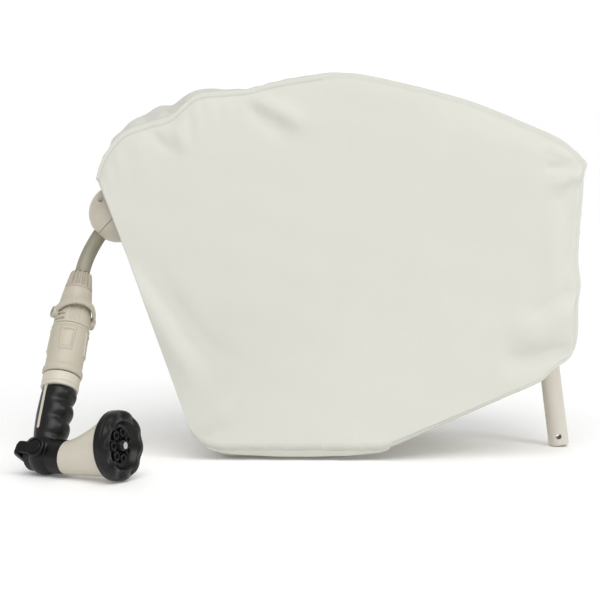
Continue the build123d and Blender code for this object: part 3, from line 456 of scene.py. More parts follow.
def nutShape(radius, height, angle):
    # deep upright flutes between rounded ribs, on the cone only
    wave = np.clip(np.cos(nut["flutes"] * angle), nut["root"], nut["crest"])
    share = (nut["crest"] - wave) / (nut["crest"] - nut["root"])
    window = hump(height, nut["middle"], nut["spread"]) ** 0.5
    window = window * (radius > nut["bore"]) * (height > nut["low"]) * (height < nut["high"])
    return radius - nut["depth"] * share * window, height


nutProfile = rounded([(7.7, 98.5), (13.9, 98.5), (14.4, 99.1), (14.5, 101.6), (14.0, 103.5),
                      (12.4, 113.0), (11.6, 116.6), (11.0, 118.2), (10.2, 118.7), (8.9, 118.7),
                      (7.8, 117.9), (7.75, 112.0)], 90)
connectorNut = turned("connectorNut", nutProfile, connectorAt, "carriage", finishes["nut_plastic"],
                      turns=252, shape=nutShape, replaces=["hose_nut"], angle=50)

sleeve = {"turn": -87.0, "middle": 36.5, "halfHeight": 13.0, "halfWidth": 7.5, "radius": 20.0,
          "flare": 0.010, "inside": 17.5, "rim": 1.3, "window": 1.9, "windowShare": 0.74}


def sleeveShape(radius, height, angle):
    # four raised frames a quarter turn apart, each round a sunken window that narrows downwards
    turn = (angle - np.radians(sleeve["turn"]) + np.pi / 4) % (np.pi / 2) - np.pi / 4
    side = np.abs(turn) * sleeve["radius"] * (1 + sleeve["flare"] * (sleeve["middle"] - height))
    reach = np.maximum(side / sleeve["halfWidth"],
                       np.abs(height - sleeve["middle"]) / sleeve["halfHeight"])
    rim = sleeve["rim"] * softStep(reach, 1.0, 34)
    window = sleeve["window"] * softStep(reach, sleeve["windowShare"], 40)
    return radius + (radius > sleeve["inside"]) * (rim - window), height


sleeveProfile = rounded([(16.15, 0.6), (18.4, 0.0), (19.8, 0.2), (20.5, 1.2), (20.9, 3.6),
                         (20.5, 6.4), (19.5, 8.4), (19.2, 10.0), (19.25, 30.0), (19.0, 48.0),
                         (18.8, 50.6), (19.5, 51.6), (19.8, 52.8), (19.5, 54.0), (18.9, 54.4),
                         (16.15, 54.4)], 190)
connectorSleeve = turned("connectorSleeve", sleeveProfile, connectorAt, "carriage",
                         finishes["sleeve_plastic"], turns=288, shape=sleeveShape,
                         replaces=["connector_sleeve"], angle=60)

slots = {"levels": (59.0, 64.5), "turn": -144.0, "spread": 34.0, "halfWidth": 1.15, "depth": 2.4}
panel = {"turn": -76.0, "spread": 19.0, "low": 57.5, "high": 76.0, "depth": 0.75,
         "flutes": 52, "fluteDepth": 0.35, "inside": 13.5}


def bodyShape(radius, height, angle):
    # two slots round the left front, and a sunken panel with upright flutes on the front
    inSlot = softStep(np.abs(turnFrom(angle, slots["turn"])) / np.radians(slots["spread"]), 1, 40)
    cut = sum(hump(height, level, slots["halfWidth"]) ** 2 for level in slots["levels"])
    turn = turnFrom(angle, panel["turn"])
    inPanel = softStep(np.abs(turn) / np.radians(panel["spread"]), 1, 30)
    inPanel = inPanel * softStep(-height, -panel["low"], 2.4) * softStep(height, panel["high"], 2.4)
    flutes = panel["fluteDepth"] * np.cos(turn * panel["flutes"])
    sunk = slots["depth"] * cut * inSlot + inPanel * (panel["depth"] - flutes)
    return radius - (radius > panel["inside"]) * sunk, height


bodyProfile = rounded([(8.6, 50.0), (15.6, 50.0), (15.6, 54.8), (18.7, 54.9), (19.0, 55.4),
                       (18.95, 62.0), (18.3, 70.0), (17.5, 78.0), (16.2, 88.0), (14.9, 97.6),
                       (14.4, 98.3), (8.6, 98.4), (8.6, 50.0)], 190)
connectorBody = turned("connectorBody", bodyProfile, connectorAt, "carriage",
                       finishes["sleeve_plastic"], turns=288, shape=bodyShape,
                       replaces=["connector_body"], angle=60)

bail = {"halfSpan": 20.9, "reach": 25.2, "rise": 26.0, "halfWidth": 3.6, "halfThickness": 1.7,
        "crownWider": 0.25, "ribs": 46, "ribShare": 0.10}
bailAt = axesFrom(joints["bail_swing"]["pos_m"], joints["bail_swing"]["axis"], connectorAt[1][2])


def bailStrap(rows=150, turns=40):
    # a flat band with rounded edges and fine ribs, carried round half an ellipse
    run = np.linspace(0, np.pi, rows)[:, None]
    ring = np.linspace(0, 2 * np.pi, turns, endpoint=False)[None, :]
    across = bail["halfWidth"] * squared(np.sin(ring), 0.5)
    across = across * (1 + bail["crownWider"] * np.sin(run) ** 2)
    out = bail["halfThickness"] * squared(np.cos(ring), 0.35)
    out = out * (1 + bail["ribShare"] * np.cos(run * bail["ribs"]))
    along = np.cos(run) * (bail["halfSpan"] + out)
    reach = np.sin(run) * (bail["reach"] + out)
    rise = np.radians(bail["rise"])
    x = reach * np.sin(rise) + across * np.cos(rise)
    y = -reach * np.cos(rise) + across * np.sin(rise)
    return capped(np.stack([x, y, along], axis=-1))


def joined(grids):  # several closed grids as one set of points and faces
    points, faces, start = [], [], 0
    for grid in grids:
        rows, turns = grid.shape[:2]
        points.append(grid.reshape(-1, 3))
        faces.append(gridFaces(rows, turns, closed=True, start=start))
        start += rows * turns
    return np.concatenate(points), np.concatenate(faces)


# a round boss with a sunken screw seat at each end of the strap, turned about the pivot
eyeProfile = rounded([(0.05, 18.0), (5.9, 18.0), (6.2, 18.5), (6.2, 22.6), (5.6, 23.5), (4.7, 23.7),
                      (4.2, 23.4), (4.0, 22.2), (3.9, 21.4), (0.05, 21.3)], 50)
eyes = [bossRings(eyeProfile, side, 64) for side in (1, -1)]
bailPoints, bailFaces = joined([bailStrap(), *eyes])
bailPiece = makePiece("bailStrap", placed(bailPoints, bailAt), bailFaces, "bail",
                      finishes["sleeve_plastic"], ["bail_lever"], angle=50, weld=0.00002)

print("connector made")

# spray gun
barrelDir = unit(joints["valve_stroke"]["axis"])
acrossDir = unit(joints["thumb_lever_swing"]["axis"])
gunAt = (np.array(joints["thumb_lever_swing"]["pos_m"]),
         np.array([barrelDir, acrossDir, np.cross(barrelDir, acrossDir)]))
handleDir = unit(joints["gun_twist"]["axis"])
handleAt = (gunAt[0], np.array([np.cross(acrossDir, handleDir), acrossDir, handleDir]))
dialDir = unit(joints["dial_turn"]["axis"])
dialAt = (np.array(joints["dial_turn"]["pos_m"]),
          np.array([acrossDir, np.cross(dialDir, acrossDir), dialDir]))

grip = {"radius": 17.2, "fingers": ((65.5, 2.4), (46.5, 2.2), (28.0, 1.6)), "fingerWidth": 6.8,
        "valleys": (56.0, 37.2, 17.5), "valleyWidth": 3.4, "valleyDepth": 1.7, "palm": 1.6,
        "palmMiddle": 44, "palmSpread": 20, "ribPitch": 2.6, "ribHeight": 0.3}


def gripShape(radius, height, angle):
    # round bar with three finger lobes in front, a palm swell behind and a ribbed back
    front = np.maximum(0, np.cos(angle)) ** 1.3
    behind = np.maximum(0, -np.cos(angle)) ** 2
    skin = np.clip((radius - 9) / 6, 0, 1)
    lobes = sum(lift * hump(height, level, grip["fingerWidth"]) for level, lift in grip["fingers"])
    valleys = sum(hump(height, level, grip["valleyWidth"]) for level in grip["valleys"])
    palm = grip["palm"] * hump(height, grip["palmMiddle"], grip["palmSpread"])
    ribs = grip["ribHeight"] * np.sin(height * 2 * np.pi / grip["ribPitch"])
    ribs = ribs * hump(height, 40, 9) ** 0.5 * behind**3
    lobes = lobes - grip["valleyDepth"] * valleys
    return radius + skin * (front * lobes + behind * palm + ribs), height


gripProfile = rounded([(0.5, 8.0), (12.0, 8.2), (15.2, 10.0), (16.2, 14.0), (17.0, 22.0),
                       (17.2, 30.0), (17.2, 64.0), (16.9, 69.0), (15.9, 71.4), (14.4, 72.3),
                       (11.2, 72.4), (0.5, 72.4)], 150)
handGrip = turned("handGrip", gripProfile, handleAt, "gun", finishes["grip_rubber"], turns=160,
                  shape=gripShape, replaces=["hand_grip"], angle=60)

strip = {"turn": 253.0, "low": 23.0, "high": 72.0, "halfWidth": 1.75, "lift": 0.45, "sunk": 0.6,
         "roundEnd": 2.0, "radius": 17.0}


def stripPoints(rows=90, turns=28):
    # a narrow inlay that lies on the grip's own surface and ends round at its foot
    share = np.linspace(0, 1, rows)[:, None]
    ring = np.linspace(0, 2 * np.pi, turns, endpoint=False)[None, :]
    height = strip["low"] + (strip["high"] - strip["low"]) * share
    toFoot = np.clip((strip["low"] + strip["roundEnd"] - height) / strip["roundEnd"], 0, 1)
    ends = np.sqrt(np.clip(1 - toFoot**2, 0.0004, 1))
    angle = np.radians(strip["turn"]) + strip["halfWidth"] * ends * np.cos(ring) / strip["radius"]
    base, _ = gripShape(np.full_like(angle, grip["radius"]), height + 0 * angle, angle)
    face = np.clip(np.sin(ring) * 3, -1, 1) * ends
    radius = base - strip["sunk"] + (strip["sunk"] + strip["lift"]) * face
    grid = np.stack([radius * np.cos(angle), radius * np.sin(angle), height + 0 * angle], axis=-1)
    return capped(grid)


stripGrid = stripPoints()
gripInlay = makePiece("gripInlay", placed(stripGrid.reshape(-1, 3), handleAt),
                      gridFaces(*stripGrid.shape[:2], closed=True), "gun", finishes["gun_cream"],
                      ["grip_strip"], angle=60, weld=0.00002)

collarProfile = rounded([(5.2, 71.5), (18.2, 71.5), (19.1, 71.9), (19.45, 73.0), (19.4, 74.8),
                         (18.95, 75.3), (18.95, 75.9), (19.4, 76.4), (19.35, 84.6), (18.9, 86.0),
                         (17.6, 86.4), (10.1, 86.5), (10.1, 101.0), (5.2, 101.0), (5.2, 71.5)], 90)
gunCollar = turned("gunCollar", collarProfile, handleAt, "gun", finishes["gun_cream"], turns=128,
                   replaces=["gun_collar"], angle=50)

lever = {"paddle": (-21.2, 0, -4.0), "paddleHalf": (3.0, 22.4, 6.4), "arm": (-12.0, 20.6, -1.6),
         "armHalf": (11.0, 1.9, 6.2), "bow": 2.2, "ribPitch": 2.4, "ribHeight": 0.28, "ribbed": 0.9}


def roundedBlock(middle, half, power, rows=28, turns=44):
    # a ball squared off towards a box: each coordinate is a power of the ball's
    rise = np.linspace(-np.pi / 2, np.pi / 2, rows)[:, None]
    turn = np.linspace(0, 2 * np.pi, turns, endpoint=False)[None, :]
    x = squared(np.cos(rise), power) * squared(np.cos(turn), power)
    y = squared(np.cos(rise), power) * squared(np.sin(turn), power)
    z = squared(np.sin(rise), power) + 0 * turn
    return np.stack([middle[0] + half[0] * x, middle[1] + half[1] * y, middle[2] + half[2] * z], -1)


paddle = roundedBlock(lever["paddle"], lever["paddleHalf"], 0.3)
paddleShare = np.abs(paddle[..., 1]) / lever["paddleHalf"][1]
paddle[..., 0] -= lever["bow"] * (1 - paddleShare**2)  # bowed out between the arms
ribWave = np.sin(paddle[..., 2] * 2 * np.pi / lever["ribPitch"])
paddle[..., 0] += lever["ribHeight"] * ribWave * (paddleShare < lever["ribbed"])
arms = [roundedBlock((lever["arm"][0], side * lever["arm"][1], lever["arm"][2]), lever["armHalf"], 0.4)
        for side in (-1, 1)]
# round bosses about the lever's pin, each with a crescent groove inside its rim
bossProfile = rounded([(0.05, 18.7), (9.6, 18.7), (10.3, 19.2), (10.4, 21.4), (9.9, 22.4), (9.0, 22.8),
                       (8.0, 22.6), (7.6, 21.7), (6.9, 21.6), (6.5, 22.6), (5.4, 22.95),
                       (0.05, 23.1)], 70)
bosses = [bossRings(bossProfile, side, 72)[..., [0, 2, 1]] for side in (1, -1)]
leverPoints, leverFaces = joined([paddle, *arms, *bosses])
thumbLever = makePiece("thumbLever", placed(leverPoints, gunAt), leverFaces, "thumb_lever",
                       finishes["gun_black"], ["thumb_lever"], angle=50, weld=0.00002)

bell = {"start": 27.0, "end": 76.0, "small": 17.2, "top": 48.4, "low": -13.2, "side": 31.0,
        "tilt": 6.0, "topCurve": 1.45, "sideCurve": 1.15, "turnedIn": 0.8, "rows": 48, "turns": 128}


def bellRings():
    # rings from the barrel to the dial: the underside is straight, the top rises in a hollow curve
    share = np.linspace(0, 1, bell["rows"])[:, None]
    angle = np.linspace(0, 2 * np.pi, bell["turns"], endpoint=False)[None, :]
    top = bell["small"] + (bell["top"] - bell["small"]) * share ** bell["topCurve"]
    low = -bell["small"] + (bell["low"] + bell["small"]) * share
    side = bell["small"] + (bell["side"] - bell["small"]) * share ** bell["sideCurve"]
    middle, rise = (top + low) / 2, (top - low) / 2
    up = rise * np.sin(angle)
    lean = np.tan(np.radians(bell["tilt"])) * share
    x = bell["start"] + (bell["end"] - bell["start"]) * share - up * lean
    y = side * np.cos(angle)
    return np.stack([x + 0 * angle, y, middle + up], axis=-1)


rings = bellRings()
turnedIn = [(rings[end] * (1 - bell["turnedIn"]) + rings[end].mean(axis=0) * bell["turnedIn"])[None]
            for end in (0, -1)]
bellGrid = np.concatenate([turnedIn[0], rings, turnedIn[1]])
sprayBell = makePiece("sprayBell", placed(bellGrid.reshape(-1, 3), gunAt),
                      gridFaces(*bellGrid.shape[:2], closed=True), "gun", finishes["gun_cream"],
                      ["nozzle_bell"], angle=50, weld=0.00002)

dial = {"dimples": 9, "dimpleDepth": 2.6, "dimpleRing": 30.0, "dimpleReach": 3.9,
        "dimpleHalf": 5.4, "inside": 25, "rimDepth": 0.8, "rimFrom": 32.5, "rimMiddle": 4.8,
        "pods": 7, "podRing": 13.2}


def dialShape(radius, height, angle):
    # dimples pressed into the outer shoulder, and a shallow dent in the rim beside each
    step = 2 * np.pi / dial["dimples"]
    turn = (angle + step / 2) % step - step / 2
    dent = hump(turn * dial["dimpleRing"], 0, dial["dimpleHalf"])
    shoulder = hump(radius, dial["dimpleRing"], dial["dimpleReach"]) * (height > 2.0)
    shoulder = shoulder * (radius > dial["inside"])
    rim = (radius > dial["rimFrom"]) * hump(height, dial["rimMiddle"], 3.0)
    return radius - dial["rimDepth"] * dent * rim, height - dial["dimpleDepth"] * dent * shoulder


dialProfile = rounded([(0.2, -7.5), (30.5, -7.5), (34.2, -7.3), (34.9, -6.6), (35.0, -5.8),
                       (35.0, 0.2), (34.6, 0.7), (34.6, 1.1), (35.0, 1.6), (34.8, 3.4), (33.9, 5.4),
                       (32.2, 6.9), (30.0, 7.5), (27.6, 7.5), (25.6, 6.9), (24.2, 5.6), (22.8, 3.2),
                       (21.0, 0.6), (19.4, -0.3), (9.4, -0.4), (7.2, 0.4), (6.2, 3.0), (5.5, 5.0),
                       (5.0, 5.5), (2.3, 5.5), (2.2, 3.5), (0.2, 3.5)], 170)
sprayDial = turned("sprayDial", dialProfile, dialAt, "dial", finishes["dial_plastic"], turns=360,
                   shape=dialShape, replaces=["spray_dial"], angle=50)
podProfile = [(4.9, -0.6), (4.7, 2.6), (4.2, 3.2), (3.4, 3.3), (2.9, 2.9), (2.6, 1.4), (1.4, 1.2),
              (1.2, 0.4), (0.1, 0.3)]
for pod in range(dial["pods"]):
    turn = 2 * np.pi * pod / dial["pods"]
    outward = np.cos(turn) * dialAt[1][0] + np.sin(turn) * dialAt[1][1]
    origin = dialAt[0] + dial["podRing"] * mm * outward
    podPiece = turned(f"sprayPod{pod + 1}", rounded(podProfile, 24), (origin, dialAt[1]), "dial",
                      finishes["dial_plastic"], turns=32, angle=50)
print("spray gun made")

# fabric cover
cover = {
    "seam": [(-0.2522, 0.2930), (-0.2475, 0.3085), (-0.2390, 0.3240), (-0.2310, 0.3335),
             (-0.2217, 0.3410), (-0.1980, 0.3490), (-0.1762, 0.3560), (-0.1500, 0.3772),
             (-0.1203, 0.3812), (-0.0985, 0.3830), (-0.0768, 0.3887), (-0.0437, 0.3950),
             (0.0039, 0.4000), (0.0556, 0.3912), (0.1281, 0.3722), (0.1840, 0.3504),
             (0.2212, 0.3339), (0.2378, 0.3215), (0.2455, 0.3140), (0.2502, 0.3088),
             (0.2480, 0.3010), (0.2465, 0.2910), (0.2462, 0.2780), (0.2437, 0.2460),
             (0.2422, 0.2100), (0.2450, 0.1850), (0.2427, 0.1650), (0.2427, 0.1350),
             (0.2400, 0.1180)],
    "lower": [(-0.1610, 0.0395), (-0.1558, 0.0290), (-0.1480, 0.0198), (-0.1395, 0.0150),
              (-0.1290, 0.0126), (-0.1100, 0.0118), (0.0220, 0.0118), (0.0424, 0.0124),
              (0.0563, 0.0172), (0.1000, 0.0362), (0.1630, 0.0638), (0.2040, 0.0822),
              (0.2140, 0.0905), (0.2230, 0.0985), (0.2320, 0.1040), (0.2385, 0.1110)],
    "side": 0.1012, "seamSide": 0.0955, "caseSide": 0.0985, "lowest": 0.0116, "thickness": 0.0014,
    "columns": 214, "rows": 84, "gussetRows": 34, "crowding": 1.9, "frontBow": 0.0014,
    "welt": 0.0016, "weltWidth": 0.0024, "tuck": 0.0085, "lean": 0.0036, "foldGain": 1.5,
    "puckerPitch": 0.021, "puckerReach": 0.016, "puckerHeight": 0.0022, "ripplePitch": 0.024,
    "rippleReach": 0.22, "rippleHeight": 0.0026, "hem": 0.0042, "hemRise": 0.0006, "hemFrom": 0.05,
    "turnUnder": 0.0074, "turnIn": 0.0060,
    # where the strip swells out, along the top (x) and down the back (z): middle, half width, height
    "topSwells": [(-0.10, 0.09, 0.0022), (-0.195, 0.042, 0.0115)],
    "backSwells": [(0.245, 0.040, 0.0050), (0.145, 0.022, 0.0030)],
}
# the last pair: how far from the seam the painted shade band beside the welt starts and ends
cloth = {"colour": linear(211, 211, 202), "thread": 0.0009, "stitch": 0.0030, "stitchHalf": 0.00045,
         "seamMark": 2.0, "seamBand": 0.02, "groove": (0.0024, 0.0042)}
topAbove, backBeyond = 0.3, 0.2  # the strip's top stretch, and its stretch down the back
# where the panel starts to lean back towards its seam, along the top
leanFrom = [(-0.26, 0.30), (-0.20, 0.335), (-0.15, 0.362), (-0.0950, 0.377), (-0.0500, 0.358),
            (-0.0196, 0.346), (0.0493, 0.337), (0.1010, 0.343), (0.1870, 0.323), (0.2300, 0.303),
            (0.26, 0.280)]
# each fold: where it starts and ends (x, z), its half width and how far it stands out
folds = [
    ((-0.2110, 0.2080), (-0.1400, 0.1120), 0.0120, -0.0030),
    ((-0.2180, 0.1980), (-0.1560, 0.0900), 0.0130, 0.0030),
    ((-0.1700, 0.1300), (-0.1080, 0.1050), 0.0110, -0.0016),
    ((-0.0940, 0.3800), (-0.0420, 0.3500), 0.0085, 0.0030),
    ((-0.0980, 0.3680), (-0.0560, 0.3380), 0.0100, -0.0020),
    ((0.2350, 0.1640), (0.1850, 0.1260), 0.0190, 0.0042),
    ((0.2420, 0.1790), (0.1960, 0.1530), 0.0090, -0.0026),
    ((0.2380, 0.1170), (0.1750, 0.1030), 0.0100, -0.0036),
    ((0.2360, 0.2850), (0.2300, 0.2000), 0.0100, -0.0022),
    ((0.2240, 0.2600), (0.2170, 0.1900), 0.0140, 0.0020),
    ((0.2470, 0.3075), (0.2120, 0.3050), 0.0045, -0.0030),
    ((0.2420, 0.3150), (0.2130, 0.3250), 0.0050, 0.0024),
    ((0.2460, 0.2980), (0.2180, 0.2880), 0.0050, 0.0020),
    ((0.2440, 0.2900), (0.2220, 0.2700), 0.0050, -0.0018),
    ((-0.1980, 0.3440), (-0.1780, 0.3220), 0.0060, -0.0022),
    ((-0.1760, 0.3500), (-0.1620, 0.3250), 0.0060, 0.0020),
    ((-0.1470, 0.0200), (-0.1180, 0.0350), 0.0055, -0.0018),
    ((-0.1520, 0.0320), (-0.1180, 0.0560), 0.0070, 0.0020),
    ((0.0020, 0.0130), (0.0150, 0.0260), 0.0060, 0.0018),
    ((-0.0500, 0.2300), (0.0800, 0.2500), 0.0500, 0.0010),
    ((0.0900, 0.2200), (0.1200, 0.1000), 0.0300, 0.0012),
]


def foldHeight(x, z, which):
    # each fold is a soft ridge or trough along a short line, fading at its ends
    total = np.zeros_like(x)
    for (startX, startZ), (endX, endZ), width, lift in which:
        run = np.array([endX - startX, endZ - startZ])
        length = np.linalg.norm(run)
        run = run / length
        along = ((x - startX) * run[0] + (z - startZ) * run[1]) / length
        aside = (z - startZ) * run[0] - (x - startX) * run[1]
        fade = np.exp(-(((along - 0.5) / 0.55) ** 4))
        total += cover["foldGain"] * lift * hump(aside, 0, width) * fade
    return total


def panelGrid(seam, lower):
    # a patch filled between four edges: seam, lower edge, bowed front edge and back edge; rows crowd
    # together towards the seam
    rise = (1 - (1 - np.linspace(0, 1, cover["rows"])) ** cover["crowding"])[:, None, None]
    across = np.linspace(0, 1, len(seam))[None, :, None]
    front = lower[0] + (seam[0] - lower[0]) * rise
    front = front + np.array([cover["frontBow"], 0.0]) * np.sin(np.pi * rise)
    back = lower[-1] + (seam[-1] - lower[-1]) * rise
    corners = ((1 - across) * ((1 - rise) * lower[0] + rise * seam[0])
               + across * ((1 - rise) * lower[-1] + rise * seam[-1]))
    patch = (1 - rise) * lower[None] + rise * seam[None] + (1 - across) * front + across * back - corners
    return patch[..., 0], patch[..., 1]


def outwardOf(seam):  # directions square to the seam, away from the case
    direction = np.gradient(seam, axis=0)
    outward = np.stack([-direction[:, 1], direction[:, 0]], axis=1)
    return outward / np.linalg.norm(outward, axis=1)[:, None]


def panelSurface(seam, lower, side, which, phase):
    # the panel stands off the case and leans back to its seam, with puckers along the seam, slow
    # waves, folds, and a small welt where it is sewn to the strip
    x, z = panelGrid(seam, lower)
    fromSeam = np.linalg.norm(np.stack([x - seam[None, :, 0], z - seam[None, :, 1]]), axis=0)
    run = lengthAlong(seam)[None]
    tuck = np.exp(-((fromSeam / cover["tuck"]) ** 1.3))
    leanX, leanZ = np.array(leanFrom).T
    start = np.interp(x, leanX, leanZ)
    lean = np.clip((z - start) / np.maximum(seam[None, :, 1] - start, 0.012), 0, 1)
    lean = lean * lean * (3 - 2 * lean) * cover["lean"]
    loose = 0.25 + 0.75 * (hump(run, 0.10, 0.07) + hump(run, 0.60, 0.05))
    pucker = np.sin(run * 2 * np.pi / cover["puckerPitch"] + 2.4 * np.sin(run * 37 + phase)) * loose
    pucker = pucker * np.exp(-fromSeam / cover["puckerReach"]) * (1 - tuck) * cover["puckerHeight"]
    wave = 0.0010 * np.sin(x * 21 + z * 13 + phase) + 0.0008 * np.sin(z * 31 - x * 17 + 2 * phase)
    wave = wave + 0.0004 * np.sin(x * 71 + z * 53 + phase) * np.sin(z * 64 - x * 37)
    out = cover["side"] - lean + foldHeight(x, z, which) + wave + pucker
    # a soft limit keeps the folds off the case's side
    out = cover["caseSide"] + np.logaddexp(0, (out - cover["caseSide"]) * 1500) / 1500
    out = out * (1 - tuck) + cover["seamSide"] * tuck
    welt = hump(fromSeam, 0, cover["weltWidth"]) * cover["welt"]
    outward = outwardOf(seam)
    x = x + outward[None, :, 0] * welt
    z = z + outward[None, :, 1] * welt
    # edge: distance from the hem, 1 m on plain cloth, and near the seam the distance from it plus 2 m
    edge = np.linalg.norm(np.stack([x - lower[None, :, 0], z - lower[None, :, 1]]), axis=0)
    byHem = (lower[None, :, 0] > cover["hemFrom"]) & (fromSeam > cloth["seamBand"])
    edge = np.where(byHem, edge, 1.0)
    edge = np.where(fromSeam < cloth["seamBand"], fromSeam + cloth["seamMark"], edge)
    out = out + cover["hemRise"] * (edge < cover["hem"]) + 0.5 * welt
    return np.stack([x, side * out, z], axis=-1), edge, run + 0 * x


def swell(place, swells):  # the sum of soft swells, each with its middle, half width and height
    return sum(height * hump(place, middle, width) for middle, width, height in swells)


def gussetSurface(seam, farSeam, run):
    # the strip between the panels: from seam to seam, crowned, higher where it is slack, with short
    # ripples beside both seams and a welt along each
    across = np.linspace(0, 1, cover["gussetRows"])[:, None]
    across = across - 0.11 * np.sin(2 * np.pi * across)
    outward = outwardOf(seam) * (1 - across[..., None]) + outwardOf(farSeam) * across[..., None]
    x, z = seam.T
    top = z > topAbove
    back = (x > backBeyond) & ~top
    crown = 0.0008 + top * swell(x, cover["topSwells"]) + back * swell(z, cover["backSwells"])
    crown = crown * (1 - 0.75 * back * hump(z, 0.185, 0.008))
    arch = np.sin(np.pi * across) ** 0.6 * (1 + 0.12 * np.cos(2 * np.pi * across))
    slack = 0.35 + 1.25 * hump(x, -0.20, 0.035) * top + 0.3 * hump(x, 0.245, 0.02)
    ripple = np.sin(run * 2 * np.pi / cover["ripplePitch"] + 3 * np.sin(run * 29) + 2.5 * across)
    bySeams = np.exp(-across / cover["rippleReach"]) + np.exp(-(1 - across) / cover["rippleReach"])
    ripple = ripple * slack * bySeams * cover["rippleHeight"]
    ripple = ripple * np.clip(np.sin(np.pi * across) * 5, 0, 1)
    slow = 0.0012 * np.sin(run * 43 + 5 * across) * np.sin(np.pi * across)
    y = (2 * across - 1) * cover["seamSide"] + 0 * run
    fromWelt = cover["seamSide"] - np.abs(y)
    welt = hump(fromWelt, 0, cover["weltWidth"]) * cover["welt"]
    height = crown[None] * arch + ripple + slow + welt
    flat = seam[None] * (1 - across[..., None]) + farSeam[None] * across[..., None]
    flat = flat + outward * height[..., None]
    y = y + 0.5 * np.sign(y) * welt
    return np.stack([flat[..., 0], y, flat[..., 1]], axis=-1), fromWelt + cloth["seamMark"]


def bottomStrip(panelPoints, lower, side):
    # a strip turned in under a panel's bottom edge, fading out at both ends
    bottom = (lower[:, 0] > -0.143) & (lower[:, 0] < 0.050) & (lower[:, 1] < 0.017)
    edge = panelPoints[:1, np.flatnonzero(bottom)]
    turn = np.linspace(0, 1, 9)[:, None]
    x = edge[..., 0] + 0 * turn
    fade = np.sin(np.pi * np.clip((edge[..., 0] + 0.145) / 0.197, 0, 1)) ** 0.6
    z = edge[..., 2] - cover["turnUnder"] * turn * fade - 0.0005 * turn
    y = edge[..., 1] - side * cover["turnIn"] * turn**0.7 + side * 0.0004 * np.sin(x * 160)
    return np.stack([x, y, z], axis=-1)


def clothMesh(grids):
    # the grids as one mesh; each point keeps its distance from the edge and along it, and each
    # corner its place on the cloth
    points, faces, places, edges, runs = [], [], [], [], []
    start = 0
    for grid, edge, along in grids:
        rows, columns = grid.shape[:2]
        faces.append(gridFaces(rows, columns, start=start))
        points.append(grid.reshape(-1, 3))
        onStrip = np.abs(grid[..., 1]) < cover["seamSide"] - 0.0001
        place = np.stack([np.where(onStrip, along, grid[..., 0]),
                          np.where(onStrip, grid[..., 1], grid[..., 2])], axis=-1)
        places.append(place.reshape(-1, 2))
        edges.append(edge.ravel())
        runs.append(along.ravel())
        start += rows * columns
    mesh = bpy.data.meshes.new("fabricCover")
    mesh.from_pydata(np.concatenate(points).tolist(), [], np.concatenate(faces).tolist())
    corner = np.zeros(len(mesh.loops), int)
    mesh.loops.foreach_get("vertex_index", corner)
    cornerPlaces = np.concatenate(places)[corner]
    mesh.uv_layers.new(name="cloth").data.foreach_set("uv", cornerPlaces.ravel())
    for name, values in (("edgeDistance", edges), ("edgeRun", runs)):
        layer = mesh.attributes.new(name, "FLOAT", "POINT")
        layer.data.foreach_set("value", np.concatenate(values).astype(np.float32))
    build = bmesh.new()
    build.from_mesh(mesh)
    bmesh.ops.remove_doubles(build, verts=build.verts, dist=0.00005)
    bmesh.ops.recalc_face_normals(build, faces=build.faces)
    build.to_mesh(mesh)
    build.free()
    mesh.polygons.foreach_set("use_smooth", np.full(len(mesh.polygons), True))
    return mesh


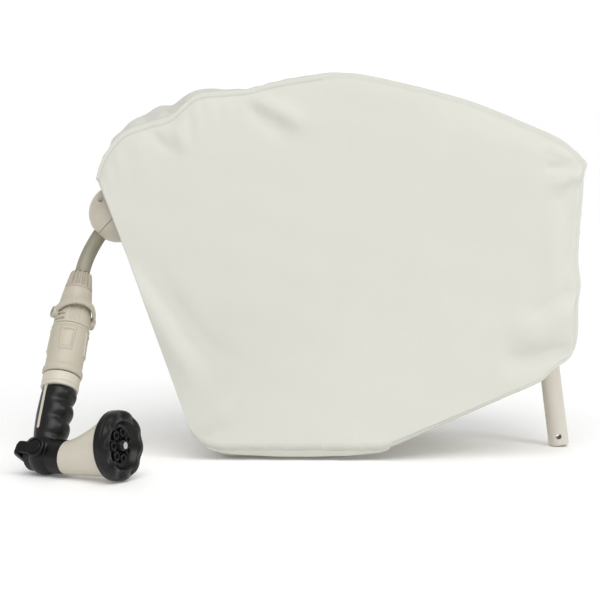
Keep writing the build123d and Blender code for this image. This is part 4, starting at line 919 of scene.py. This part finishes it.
def coverCloth():
    # woven threads from the cloth's own coordinates, a stitched hem line, slight soiling, and painted shade in the
    # band beside the welt
    board = Board("coverCloth", Sheen_Weight=0.12, Sheen_Roughness=0.6, Roughness=0.86)
    across, along, _ = board.axes(board.node("ShaderNodeUVMap", {"uv_map": "cloth"}))
    pitch = 2 * np.pi / cloth["thread"]
    weave = abs((across * pitch).sine()) * abs((along * pitch).sine())
    place = board.place()
    cloudy = board.noise(place, 5.0, 4.0)
    slub = board.noise(place, 260.0, 4.0, 0.7)
    creases = board.noise(place, 34.0, 3.0, 0.45)
    edge = board.node("ShaderNodeAttribute", {"attribute_name": "edgeDistance"}, out=2)
    run = board.node("ShaderNodeAttribute", {"attribute_name": "edgeRun"}, out=2)
    stitch = (run * (2 * np.pi / cloth["stitch"])).sine() > 0.0
    line = (abs(edge - cover["hem"]) < cloth["stitchHalf"]) * (0.7 + 0.3 * stitch)
    colour = board.blend(cloudy, shade(cloth["colour"], 0.965), shade(cloth["colour"], 1.02))
    colour = board.blend(slub * 0.3, colour, shade(cloth["colour"], 0.93))
    colour = board.blend(line * 0.55, colour, shade(cloth["colour"], 0.55))
    # painted shade where the cloth turns down beside the welt, darker on the side towards the hose
    low, high = (cloth["seamMark"] + reach for reach in cloth["groove"])
    groove = (edge > low) * (edge < high)
    hoseSideShade = board.axes(place)[0] < -0.02
    colour = board.blend(groove * (0.08 + hoseSideShade * 0.22), colour, shade(cloth["colour"], 0.62))
    board.feed("Base Color", colour)
    board.bump(weave * 0.16 + slub * 0.10 + creases * 2.2 - line * 0.5, 0.5, 0.0008)
    return board.material


def makeCover():
    # near panel, far panel with fewer folds, the strip between them and the strips turned in below
    seam = curveThrough(cover["seam"], cover["columns"])
    lower = curveThrough(cover["lower"], cover["columns"])
    lower[:, 1] = np.maximum(lower[:, 1], cover["lowest"])
    farSeam = seam.copy()
    farSeam[:, 1] += 0.005 * hump(seam[:, 0], -0.19, 0.045) * (seam[:, 1] > topAbove)
    near, nearEdge, run = panelSurface(seam, lower, -1, folds, 0.4)
    farFolds = [(start, end, width, 0.8 * lift) for start, end, width, lift in folds[::2]]
    far, farEdge, farRun = panelSurface(farSeam, lower, 1, farFolds, 2.1)
    gusset, gussetEdge = gussetSurface(seam, farSeam, run[:1])
    grids = [(near, nearEdge, run), (far, farEdge, farRun),
             (gusset, gussetEdge, run[:1] + 0 * gussetEdge)]
    for panelPoints, side in ((near, -1), (far, 1)):
        under = bottomStrip(panelPoints, lower, side)
        grids.append((under, np.ones(under.shape[:2]), under[..., 0]))
    mesh = clothMesh(grids)
    mesh.materials.append(coverCloth())
    piece = bpy.data.objects.new("fabricCover", mesh)
    bpy.context.scene.collection.objects.link(piece)
    wall = piece.modifiers.new("thickness", "SOLIDIFY")
    wall.thickness = cover["thickness"]
    wall.offset = 0
    return piece


fabricCover = makeCover()
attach(fabricCover, "cover")
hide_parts("cover")
print("cover made")
